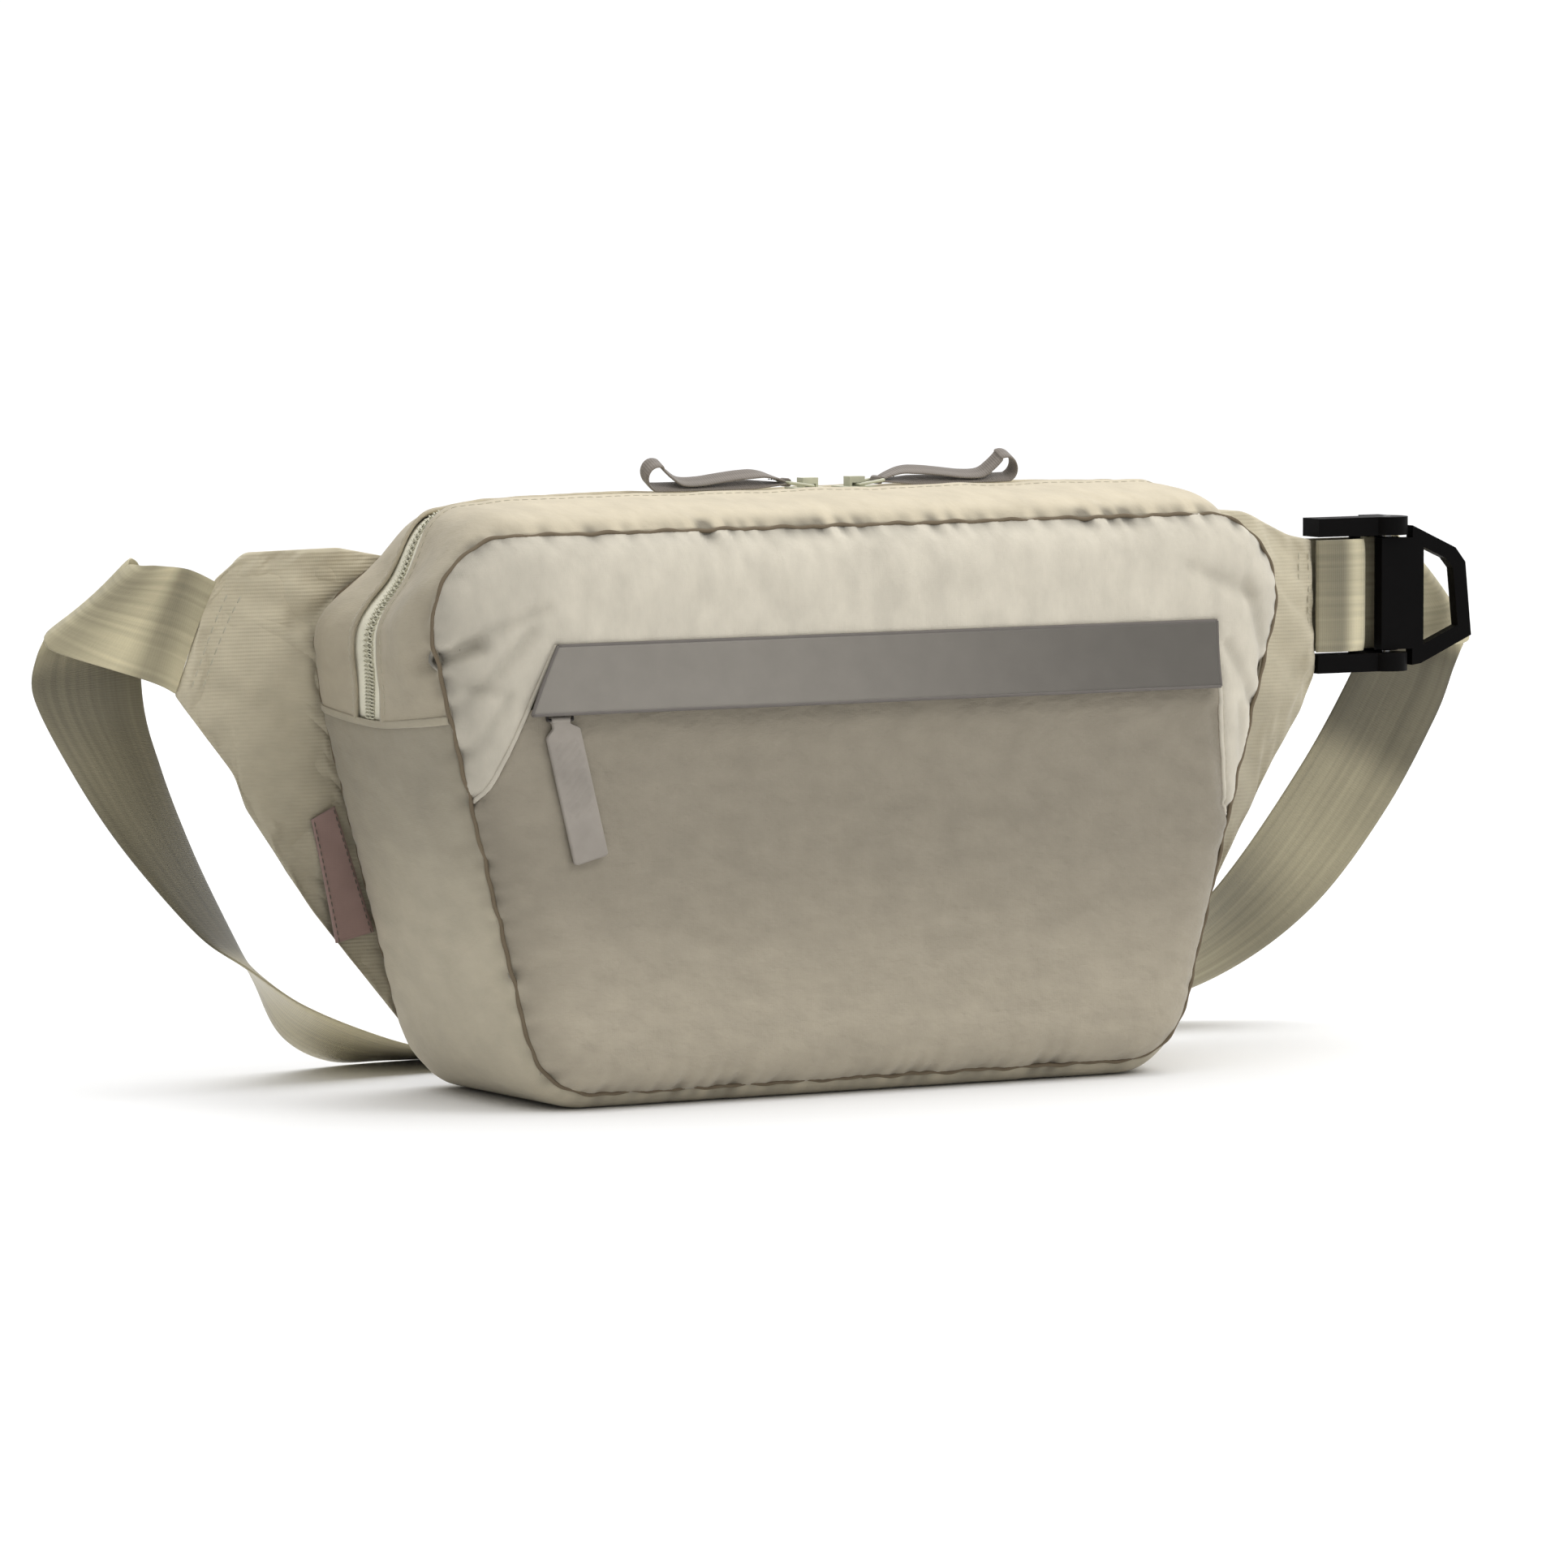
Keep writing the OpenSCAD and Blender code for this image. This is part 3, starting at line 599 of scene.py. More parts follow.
# The pocket's side seams, from the flap's upper corners down to the lower seam (mm)
LEFT_SEAM = [(-116.5, 148), (-148.6, 85)]
RIGHT_SEAM = [(127.3, 148), (133.3, 88), (150, 69)]
FLAP_LEFT, FLAP_TOP = np.array(LEFT_SEAM[0]) * MM
FLAP_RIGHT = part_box("storm_flap")[1].x
SLOT_TOP = panel_high.z + 10 * MM
SLOT_LOW = panel_high.z
# Folds in the front: both ends (mm), width and depth (mm)
FRONT_CREASES = [
    ((127.5, 118), (132, 90), 2.8, 1.5), ((140, 160), (152, 126), 2.6, 2.2),
    ((118, 166), (143, 156), 2.5, 1.6),
    ((132, 140), (146, 118), 2.4, 1.8), ((138, 120), (141, 98), 2, 1.5),
    ((-153, 145), (-143, 149), 2.6, 5.0), ((-151, 138), (-138, 134), 2.4, 1.8),
    ((-125, 152), (-150, 128), 2.6, 2.0), ((-120, 160), (-148, 150), 2.2, 1.6),
    ((-133, 132), (-149, 108), 2.2, 1.6),
    ((-125, 70), (-60, 52), 4, 0.5), ((-40, 95), (60, 88), 4, 0.45), ((20, 45), (110, 60), 4, 0.5),
    ((-80, 112), (-20, 106), 3, 0.4), ((40, 112), (110, 104), 3, 0.4)]


def front_depth(x, z):
    """y of the front's outer surface at each (x, z)."""
    inset, run = nearest_seam(x, z)
    gathers = 3.2 * MM * pucker(run) * near_seam(inset) * np.minimum(1, inset / (1.5 * MM))
    y = -HALF_DEPTH - FRONT_CROWN * rise_from_seam(inset) * valley(inset) + gathers
    for fold in FRONT_CREASES:
        y = y + crease(x, z, *fold)
    for seam in (LEFT_SEAM, RIGHT_SEAM):
        for a, b in zip(seam, seam[1:]):
            y = y + crease(x, z, a, b, 1.1, 0.9)
    points = np.column_stack([x, y, z])
    low = np.clip((SLOT_LOW - z) / (10 * MM), 0, 1)
    zip_z = 0.137
    quiet = np.clip((np.abs(z - zip_z) - 10 * MM) / (10 * MM), 0, 1)
    y = y + 0.55 * MM * fbm(points, 28 * MM, 3, seed=3, stretch=(0.45, 1, 1.7)) * low
    y = y + 0.4 * MM * fbm(points, 18 * MM, 3, seed=9) * quiet
    return np.maximum(y, yoke_low.y - 1.5 * MM)


def gather_shade_share(z):
    """How strongly painted shade darkens the seam's gathers at each place: most along the top and round the
    upper corners.
    """
    upper = np.clip((z - 0.118) / (14 * MM), 0, 1)
    base = np.clip((0.022 - z) / (10 * MM), 0, 1)
    return 0.28 + 0.72 * upper + 0.3 * base


# Where painted shade darkens the front: in the seam's gathers and along its folds.
def front_painted_shade(x, z):
    inset, run = nearest_seam(x, z)
    gathers = pucker(run) * gather_shade_share(z) * np.exp(-(inset / (2.9 * MM)) ** 2)
    folds = sum(crease(x, z, *fold) for fold in FRONT_CREASES)
    return 2.2 * gathers + np.minimum(folds / (11 * MM), 0.3)


def pocket_side(x, z):
    """How far (x, z) lies inside the pocket's two side seams; negative outside them."""
    left, right = [np.interp(z, corners[:, 1], corners[:, 0]) for corners in (
        np.array([(-160, 60), *LEFT_SEAM[1::-1]]) * MM, np.array([(160, 60), *RIGHT_SEAM[1::-1]]) * MM)]
    return np.minimum(x - left, right - x)


def seam_cord(name, y, inset, radius):
    """A dark cord in the valley of a seam: partly the gathered seam allowance, partly painted shadow of the
    seam's valley.
    """
    count = 900
    x, z, nx, nz = on_seam(np.linspace(0, SEAM_RUN, count, endpoint=False))
    inset = inset + 0.45 * MM * np.sin(np.arange(count) / 2.3) * np.sin(np.arange(count) / 7.1)
    path = points_at(x - nx * inset, y, z - nz * inset)
    points, faces = sweep_tube(path, radius, 8, closed=True)
    make_piece(name, points, faces, SEAM_ALLOWANCE_AND_SHADOW)


def build_front():
    grid = panel_grid(300, 170)
    rows, cols = grid.shape[:2]
    x, z = grid[..., 0].ravel(), grid[..., 1].ravel()
    points = np.column_stack([x, front_depth(x, z), z])
    # Painted shade for the front's gathers and folds.
    hollows = front_painted_shade(x, z)
    faces = grid_faces(rows, cols)
    corner = np.array(faces)
    mid_x, mid_z = x[corner].mean(1), z[corner].mean(1)
    inside = (pocket_side(mid_x, mid_z) > 0) & (mid_z < FLAP_TOP)
    panel = inside & (mid_z < SLOT_LOW)
    yoke = ~(inside & (mid_z < SLOT_TOP))
    for name, kept, material, slot, node in (
            ("front_yoke_cloth", yoke, NYLON_LIGHT, "nylon_light", "front_yoke"),
            ("pocket_panel_cloth", panel, NYLON_PAINTED_SHADE, "nylon_dark", "pocket_panel")):
        used = np.unique(corner[kept])
        renumber = {old: new for new, old in enumerate(used)}
        piece = make_piece(name, points[used], [[renumber[k] for k in f] for f in corner[kept]],
                           material, node=node)
        mark_painted_shade(piece, hollows[used])
        thicken(piece, 1.2 * MM)


def build_pocket_seams():
    """The yoke's folded lip along the pocket's two side seams."""
    lips = []
    for corners in (LEFT_SEAM, RIGHT_SEAM):
        line = resample(corners, 120)
        line = line[np.abs(line[:, 0]) < half_at(line[:, 1]) - 1.2 * MM]
        y = front_depth(line[:, 0], line[:, 1]) - 0.1 * MM
        lips.append(sweep_tube(points_at(line[:, 0], y, line[:, 1]), 0.85 * MM, 8))
    points, faces = join(lips)
    make_piece("pocket_seam_lips", points, faces, NYLON_LIGHT)


# ---- gusset ----

def crown_at(nz):
    corner = CORNER_PULL * 4 * nz ** 2 * (1 - nz ** 2)
    return SIDE_CROWN + np.where(nz > 0, (TOP_CROWN - SIDE_CROWN) * nz - corner, (SIDE_CROWN - SEAM_LOW) * nz)


# Pinched folds that run into the front seam: where on the outline (mm), width, reach and depth (mm)
PINCHES = [((-154, 144), 4, 12, 4.2), ((-157, 160), 5, 12, 2.6), ((-150, 128), 4, 9, 1.6),
           ((-132, 186), 5, 12, 1.5), ((150, 128), 5, 14, 2.6), ((157, 152), 4, 12, 2.2),
           ((141, 184), 5, 12, 1.6), ((-140, 84), 6, 12, 1.2), ((-128, 40), 5, 10, 1.0)]


def pinched(run, y):
    """How far the folds draw the gusset in at each place."""
    out = np.zeros(len(run))
    for (x, z), width, reach, depth in PINCHES:
        at = seam_run_at(x * MM, z * MM)
        across = np.exp(-((run - at) / (width * MM)) ** 2)
        away = y + HALF_DEPTH
        out += depth * MM * across * np.exp(-(away / (reach * MM)) ** 2) * np.minimum(1, away / (3 * MM))
    return out


def gusset_points(run, y, lift=0.0, rough=True):
    """Points of the gusset's outer surface at seam distances run and depths y; rough adds its gathers,
    folds and unevenness."""
    x, z, nx, nz = on_seam(run)
    flat = np.where(nz < -0.5, 0.8 * np.minimum(1, (-nz - 0.5) / 0.45), 0)
    w = np.abs(y) / HALF_DEPTH
    share = np.where(w <= flat, 1, np.sqrt(np.maximum(0, 1 - ((w - flat) / (1 - flat)) ** 2)))
    under = np.clip(-nz * 2 - 0.8, 0, 1)
    away = (1 - w) * HALF_DEPTH
    out = crown_at(nz) * share
    if rough:
        out = out * valley(away)
        out = out - 2.6 * MM * pucker(run) * near_seam(away) * share * (1 - 0.7 * under)
        out = out - pinched(np.mod(run, SEAM_RUN), y)
    out = out + lift
    points = np.column_stack([x + nx * out, y, z + nz * out])
    if rough:
        push = 0.5 * MM * fbm(points, 20 * MM, 3, seed=5, stretch=(1, 0.6, 1)) * share * (1 - under)
        points = points + np.column_stack([nx * push, 0 * push, nz * push])
    return points


# Where painted shade darkens the gusset: in the seam's gathers and its pinched folds.
def gusset_painted_shade(run, y):
    z = on_seam(run)[1]
    away = HALF_DEPTH - np.abs(y)
    gathers = pucker(run) * gather_shade_share(z) * np.exp(-(away / (3.4 * MM)) ** 2)
    return 2.2 * gathers + np.minimum(pinched(np.mod(run, SEAM_RUN), y) / (9 * MM), 0.5)


def gusset_band(name, run_from, run_to, y_from, y_to, material, node, steps, across,
                lift=0.0, thickness=1.2 * MM, rough=True, hem_y=None):
    """A stretch of the gusset; hem_y is where a rolled hem stands up beside the zip."""
    run, y = lattice(np.linspace(run_from, run_to, steps), np.linspace(y_from, y_to, across))
    if hem_y is not None:
        lift = lift + 0.8 * MM * np.exp(-((y - hem_y) / (1.6 * MM)) ** 2)
    points = gusset_points(run, y, lift, rough)
    piece = make_piece(name, points, grid_faces(steps, across), material, node=node)
    # Painted shade in the gusset's gathers and folds.
    if rough:
        mark_painted_shade(piece, gusset_painted_shade(run, y))
    thicken(piece, thickness)


RIGHT_HALF = SEAM[:2 * ARC_STEPS + 2]
RIGHT_END = np.interp(ZIP_END, RIGHT_HALF[:, 1], RIGHT_HALF[:, 4])
LEFT_END = SEAM_RUN - RIGHT_END
ZIP_Y = (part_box("main_tape_front")[1].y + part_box("main_tape_rear")[0].y) / 2
STRIP_FRONT_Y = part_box("gusset_top_front")[1].y
STRIP_REAR_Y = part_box("gusset_top_rear")[0].y
TAPE_DROP = 1.2 * MM
TAPE_SHOWN = 2.5 * MM
SPLIT = 0.6 * MM


def build_gusset():
    gusset_band("gusset_strip_front", RIGHT_END, LEFT_END, -HALF_DEPTH, STRIP_FRONT_Y - TAPE_SHOWN,
                GUSSET_LIGHT, "gusset_top_front", 420, 40, hem_y=STRIP_FRONT_Y - TAPE_SHOWN)
    gusset_band("gusset_strip_rear", RIGHT_END, LEFT_END, STRIP_REAR_Y, HALF_DEPTH,
                GUSSET_LIGHT, "gusset_top_rear", 420, 34, hem_y=STRIP_REAR_Y)
    gusset_band("gusset_base", LEFT_END, SEAM_RUN + RIGHT_END, -HALF_DEPTH, HALF_DEPTH,
                GUSSET_PAINTED_SHADE, "gusset_lower", 420, 60)
    for half, y_from, y_to in (("front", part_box("main_tape_front")[0].y, ZIP_Y - SPLIT),
                               ("rear", ZIP_Y + SPLIT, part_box("main_tape_rear")[1].y)):
        gusset_band("main_tape_cloth_" + half, RIGHT_END, LEFT_END, y_from, y_to, TAPE,
                    "main_tape_" + half, 300, 8, lift=-TAPE_DROP, thickness=0.6 * MM, rough=False)



def build_hems():
    """The folded top edge of the lower gusset, where the main zip ends."""
    width, overlap = 2.4 * MM, 0.6 * MM
    across, along = lattice(np.linspace(-0.985, 0.985, 90) * HALF_DEPTH, np.linspace(0, 1, 9))
    fade = np.sqrt(1 - (np.abs(across) / HALF_DEPTH) ** 8)
    lift = 0.5 * MM * fade * np.sqrt(np.maximum(0, np.sin(along * math.pi)))
    for name, run, away in (("gusset_hem_right", RIGHT_END, -1), ("gusset_hem_left", LEFT_END, 1)):
        points = gusset_points(run + away * (along * width - overlap), across, lift)
        hem = make_piece(name, points, grid_faces(90, 9), GUSSET_HEM)
        thicken(hem, 0.3 * MM)


# ---- sweeps ----

def unit(v):
    v = np.asarray(v, float)
    return v / np.linalg.norm(v, axis=-1, keepdims=True)


def directions(path):
    """The direction of travel at each point of a path."""
    return unit(np.gradient(np.asarray(path, float), axis=0))


def run_length(path):
    return np.concatenate([[0], np.cumsum(np.linalg.norm(np.diff(path, axis=0), axis=1))])


def sweep_band(name, centres, across, thickness, material, body="root", node=None, columns=12,
               wave=None):
    """A flat strap with rounded edges along centres: across gives its full width as a vector at each one,
    and wave gives how far it lifts at a distance run and a place across."""
    centres, across = np.asarray(centres, float), np.asarray(across, float)
    normal = unit(np.cross(directions(centres), across))
    w = np.sin(np.linspace(-1, 1, columns) * math.pi / 2)
    edge = np.sqrt(np.maximum(0.12, 1 - np.abs(w) ** 8))
    ring_w = np.concatenate([w, w[::-1]])
    ring_t = np.concatenate([edge, -edge[::-1]]) * thickness / 2
    count = len(centres)
    lift = np.zeros((count, len(ring_w)))
    if wave:
        lift = wave(run_length(centres)[:, None], ring_w[None])
    points = (centres[:, None] + across[:, None] * ring_w[None, :, None] / 2
              + normal[:, None] * (ring_t[None, :, None] + lift[..., None]))
    cols = len(ring_w)
    faces = grid_faces(count, cols, closed=True)
    faces += [tuple(range(cols))[::-1], tuple(range((count - 1) * cols, count * cols))]
    piece = make_piece(name, points.reshape(-1, 3), faces, material, body, node)
    width = np.linalg.norm(across, axis=1)
    run = np.zeros((count, cols, 3))
    run[..., 0] = run_length(centres)[:, None]
    run[..., 1] = ring_w[None] * width[:, None] / 2
    layer = piece.data.attributes.new("run", "FLOAT_VECTOR", "POINT")
    layer.data.foreach_set("vector", run.reshape(-1).astype(np.float32))
    return piece


def sweep_tube(path, radius, ring=8, closed=False):
    """Points and faces of a round tube along a path."""
    path = np.asarray(path, float)
    travel = directions(path)
    side = unit(np.cross(travel, [0.3, 0.2, 0.93]))
    up = np.cross(side, travel)
    angle = np.linspace(0, 2 * math.pi, ring, endpoint=False)
    points = (path[:, None] + radius * (np.cos(angle)[None, :, None] * side[:, None]
                                        + np.sin(angle)[None, :, None] * up[:, None]))
    faces = grid_faces(len(path), ring, closed=True)
    if closed:
        last = (len(path) - 1) * ring
        faces += [(last + j, last + (j + 1) % ring, (j + 1) % ring, j) for j in range(ring)]
    else:
        faces += [tuple(range(ring))[::-1], tuple(range((len(path) - 1) * ring, len(path) * ring))]
    return points.reshape(-1, 3), faces


def join(parts):
    """Several (points, faces) as one."""
    points, faces, start = [], [], 0
    for some_points, some_faces in parts:
        points.append(some_points)
        faces += [tuple(k + start for k in f) for f in some_faces]
        start += len(some_points)
    return np.concatenate(points), faces


def stitch_line(line, length=2.6 * MM, gap=1.1 * MM, radius=0.28 * MM):
    """Stitches along a line of points: short threads that dip at both ends."""
    line = np.asarray(line, float)
    run = run_length(line)
    parts = []
    for start in np.arange(0, run[-1] - length, length + gap):
        at = np.linspace(start, start + length, 5)
        path = np.column_stack([np.interp(at, run, line[:, k]) for k in range(3)])
        points, faces = sweep_tube(path, 1, 6)
        shape = np.array([0.45, 0.9, 1, 0.9, 0.45])[:, None, None] * radius
        middle = path[:, None]
        points = middle + (points.reshape(5, 6, 3) - middle) * shape
        parts.append((points.reshape(-1, 3), faces))
    return parts


def stitches(name, lines, material, body="root", slot="nylon_light", **sizes):
    points, faces = join([part for line in lines for part in stitch_line(line, **sizes)])
    make_piece(name, points, faces, material, body)


# ---- strap and anchor webbing ----

WEBBING_THICK = 1.6 * MM
STRAP_MID = mid_y("wing_left")
TILT = math.radians(22)
# Stations of the strap in mm: centre, then the vector across it
STRAP_ROUTE = [
    ((-194.3, STRAP_MID / MM, 147.7), (38 * math.sin(TILT), 0, 38 * math.cos(TILT))),
    ((-204, 45.5, 152), (14.4, 0, 35)), ((-226.5, 47, 158), (36, 0, 26)), ((-228.3, 50, 160), (34, 0, 25)),
    ((-226.5, 53, 158), (36, 0, 26)), ((-226.5, 55, 130), (38, 0, 0)), ((-213.5, 60, 104.5), (36, 12, 0)),
    ((-196, 65, 78), (32, 20, 0)), ((-172.5, 73, 50), (26, 27, -4)), ((-156.5, 80, 36), (19, 32, -8)),
    ((-138, 87, 19.5), (10, 34, -13)), ((-114, 93, 9), (3, 36, -12)), ((-89, 96, 4.5), (0, 37, -6)),
    ((-53, 96, 1.5), (0, 38, 0)), ((0, 95, 1.2), (0, 38, 0)), ((64, 93, 1.2), (0, 38, 0)),
    ((107, 91, 1.6), (0, 38, 0)), ((144, 91, 5.5), (4, 37, -6)), ((177, 86, 13), (17, 29, -16)),
    ((207, 79, 27.5), (26, 18, -21)), ((231, 71, 49.5), (31, 6, -21)), ((254, 64.5, 81.5), (33, 1, -19)),
    ((271, 61, 111.5), (34, 0, -17)), ((276, 58.5, 126), (36, 0, -11)), ((281.5, 57.4, 147.5), (32, 0, -38)),
    ((284, 54.4, 149.5), (32, 0, -38)), ((281.5, 51.4, 147.5), (32, 0, -38)),
    ((273, 51.4, 147.5), (16, 0, -38)), ((262, 51.4, 147.5), (0, 0, -38)),
    ((231, 51.4, 147.5), (0, 0, -38)), ((200, 51.4, 147.5), (0, 0, -38))]
# Where the strap is folded back on itself (mm run), its corners rounded
STRAP_FOLDS = [40, 727]


def through(stations, steps):
    """A smooth curve through the stations, steps places in each stretch."""
    padded = np.array([stations[0], *stations, stations[-1]], float)
    out = []
    for i in range(1, len(padded) - 2):
        p0, p1, p2, p3 = padded[i - 1:i + 3]
        for t in np.arange(steps) / steps:
            out.append(p1 + 0.5 * t * ((p2 - p0) + t * (2 * p0 - 5 * p1 + 4 * p2 - p3
                                                        + t * (3 * (p1 - p2) + p3 - p0))))
    out.append(padded[-1])
    return np.array(out)


def build_strap():
    centres = through([centre for centre, _ in STRAP_ROUTE], 14) * MM
    across = through([vector for _, vector in STRAP_ROUTE], 14) * MM
    run = run_length(centres)
    for fold in STRAP_FOLDS:
        across = across * (1 - 0.18 * np.exp(-((run - fold * MM) / (4 * MM)) ** 2))[:, None]

    def wave(run, w):
        return 0.35 * MM * np.sin(run / 0.021) * w * np.cos(run / 0.034) + 1.3 * MM * (0.33 - w ** 2)
    strap = sweep_band("strap_webbing", centres, across, WEBBING_THICK, WEBBING,
                       node="main_strap", columns=16, wave=wave)


def build_anchor():
    """Webbing from the right wing round the buckle's bar and back."""
    low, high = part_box("anchor_webbing")
    middle_y = mid_y("anchor_webbing")
    radius = (high.y - low.y) / 2 - WEBBING_THICK / 2
    bar_x = high.x - (high.y - low.y) / 2
    straight = np.linspace(low.x, bar_x, 14)
    bow = 1.4 * MM * np.sin(np.linspace(0, math.pi, 14))
    turn = np.linspace(-math.pi / 2, math.pi / 2, 24)[1:-1]
    middle_z = (low.z + high.z) / 2
    path = np.concatenate([
        points_at(straight, middle_y - radius - bow, middle_z),
        points_at(bar_x + radius * np.cos(turn), middle_y + radius * np.sin(turn), middle_z),
        points_at(straight[::-1], middle_y + radius, middle_z)])
    across = np.tile([0, 0, high.z - low.z], (len(path), 1))
    webbing = sweep_band("anchor_webbing_loop", path, across, WEBBING_THICK, WEBBING_SHORT,
                         node="anchor_webbing", columns=16)


# ---- zips ----

def coil_turns(total, pitch=1.5 * MM, per_turn=10):
    """The angle turned through and the distance run at each point of a zip's coil."""
    turns = int(total / pitch)
    angle = np.linspace(0, 2 * math.pi * turns, turns * per_turn)
    return angle, angle / (2 * math.pi) * pitch


def build_main_coil():
    angle, run = coil_turns(LEFT_END - RIGHT_END)
    x, z, nx, nz = on_seam(RIGHT_END + run)
    share = math.sqrt(1 - (ZIP_Y / HALF_DEPTH) ** 2)
    out = crown_at(nz) * share - TAPE_DROP + 0.45 * MM + 0.35 * MM * np.sin(angle)
    for side, half in ((-1, "front"), (1, "rear")):
        y = ZIP_Y + side * 1.25 * MM + 1.2 * MM * np.cos(angle)
        points, faces = sweep_tube(points_at(x + nx * out, y, z + nz * out), 0.3 * MM, 6)
        make_piece("main_teeth_" + half, points, faces, COIL, node="main_coil_" + half)


def build_pocket_zip():
    for side, which in ((1, "upper"), (-1, "lower")):
        low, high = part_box("pocket_coil_" + which)
        middle = (low + high) / 2
        angle, run = coil_turns(high.x - low.x)
        path = points_at(low.x + run, middle.y + 0.3 * MM * np.sin(angle),
                         middle.z - side * 0.15 * MM + 0.8 * MM * np.cos(angle))
        points, faces = sweep_tube(path, 0.28 * MM, 6)
        make_piece("pocket_teeth_" + which, points, faces, COIL_DARK,
                   node="pocket_coil_" + which, slack=False)
        low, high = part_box("pocket_tape_" + which)
        x, z = lattice(np.linspace(low.x, high.x, 160), np.linspace(low.z, high.z, 7))
        y = (low.y + high.y) / 2 + 0.1 * MM * np.sin(x / 0.006)
        tape = make_piece("pocket_tape_cloth_" + which, points_at(x, y, z), grid_faces(160, 7), TAPE_DARK,
                          node="pocket_tape_" + which, slack=False)
        thicken(tape, 0.6 * MM, 0)


# ---- pulls ----

def ribbon_line():
    """The ribbon's centre line in its own plane (mm): along the upper layer, round the end loop, back below
    and round the ring."""
    eye, half, run, loop = 0.6, 0.45, 37.5, 3.95

    def arc(x, z, radius, degrees):
        return [(x + radius * math.cos(a), z + radius * math.sin(a)) for a in np.radians(degrees)]
    upper = [(1.0, half), (4, 1.7), (9, 2.9), (16, 2.8), (24, 2.0), (32, 1.1), (run + 1, 1.3),
             (run + 5, 3.6), (run + 8, 6.2)]
    lower = [(run + 4, -half), (24, -half), (12, -half), (1.0, -half)]
    return (upper + arc(run + 10, 3.5, loop, np.arange(115, -91, -15)) + lower
            + arc(0, 0, eye + half, (-110, -140, -180, -220, -250)))


def build_ribbon(side, name, node, body):
    low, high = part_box(node)
    ring_low, ring_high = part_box("pull_ring_left" if side < 0 else "pull_ring_right")
    eye_x = ring_low.x + 0.5 * MM if side < 0 else ring_high.x - 0.5 * MM
    eye_z = ring_high.z - 0.5 * MM
    y = (low.y + high.y) / 2
    flat = through(ribbon_line(), 6) * MM
    path = points_at(eye_x + side * flat[:, 0], y, eye_z + flat[:, 1])
    roll = math.radians(26) * np.clip(flat[:, 0] / (12 * MM), 0, 1)
    across = (high.y - low.y) * np.column_stack([0 * roll, np.cos(roll), np.sin(roll)])
    sweep_band(name, path, across, 0.85 * MM, GROSGRAIN, body, node, columns=10)
    rows = [points_at(eye_x + side * away * MM, y + np.linspace(-2.4, 2.4, 12) * MM, eye_z + 1.05 * MM)
            for away in (2.1, 4.7)]
    stitches(name + "_stitches", rows, THREAD_DARK, body, "ribbon", length=1.1 * MM, gap=0.5 * MM,
             radius=0.2 * MM)


def build_tab():
    """The moulded tab: a rounded plate with slanted bars on its front, hung on its barrel."""
    barrel_radius, round_end = 1.1 * MM, 1.2 * MM
    lean = math.radians(14)
    slider_low, slider_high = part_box("pocket_slider")
    pivot_x = (slider_low.x + slider_high.x) / 2
    pivot_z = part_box("pocket_pull_tab")[1].z - barrel_radius
    middle_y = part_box("pocket_pull_ring")[0].y + 0.45 * MM
    half, long, thick, neck = 6.25 * MM, 46 * MM, 1.6 * MM, 3.2 * MM
    bars_from, bars_to, bars_half, bar_pitch, bar_slant = 7, 31, 4.2, 3.0, 0.7
    edge_round, groove, bar_rise = 0.5 * MM, 0.18 * MM, 0.12 * MM
    down = np.array([math.sin(lean), 0, -math.cos(lean)])
    right = np.array([math.cos(lean), 0, math.sin(lean)])
    rows, cols = 92, 26
    v, u = lattice(np.linspace(0, 1, rows), np.linspace(-1, 1, cols))
    t, from_end = v * long, long - v * long
    shoulder = np.clip((t - 1.6 * MM) / (3 * MM), 0, 1)
    width = neck + (half - neck) * (3 * shoulder ** 2 - 2 * shoulder ** 3)
    rounded = np.clip(round_end - from_end, 0, round_end)
    width = width - round_end + np.sqrt(round_end ** 2 - rounded ** 2)
    w = np.sin(u * math.pi / 2) * width
    edge = np.minimum.reduce([np.ones(len(w)), (width - np.abs(w)) / edge_round,
                              (from_end + 0.05 * MM) / edge_round])
    rise = thick / 2 * np.sqrt(np.maximum(0.05, 1 - (1 - edge) ** 2))
    in_bars = (bars_from * MM < t) & (t < bars_to * MM) & (np.abs(w) < bars_half * MM)
    bar = np.sin((t + bar_slant * w) * 2 * math.pi / (bar_pitch * MM))
    front = np.where(in_bars, np.where(bar < 0, rise - groove, rise + bar_rise), rise)
    plate = np.array([pivot_x, middle_y, pivot_z]) + t[:, None] * down + w[:, None] * right
    points = np.concatenate([plate - np.outer(front, [0, 1, 0]), plate + np.outer(rise, [0, 1, 0])])
    line = np.linspace(-3.2, 3.2, 12) * MM + pivot_x
    barrel = sweep_tube(points_at(line, middle_y, pivot_z), barrel_radius, 20)
    points, faces = join([(points, two_faced(rows, cols)[0]), barrel])
    make_piece("pull_tab_moulded", points, faces, RUBBER, "pocket_tab", "pocket_pull_tab")


# ---- storm flap ----

def flap_surface(u, v):
    """Points of the flap: u 0 to 1 along it, v 0 at the upper hem to 1 at the lower edge."""
    low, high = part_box("storm_flap")
    inset = 0.55 * MM
    tilt = math.radians(7.5)
    drop = (FLAP_TOP - low.z) / math.cos(tilt) * v
    left = FLAP_LEFT + (low.x - FLAP_LEFT) * v
    x = left + (FLAP_RIGHT - left) * u
    bow = 0.5 * MM * np.sin(v * math.pi) + 0.18 * MM * np.sin(x / 0.017) * v
    y = high.y - inset - drop * math.sin(tilt) + bow * math.cos(tilt)
    z = high.z - inset - drop * math.cos(tilt)
    return points_at(x, y, z)


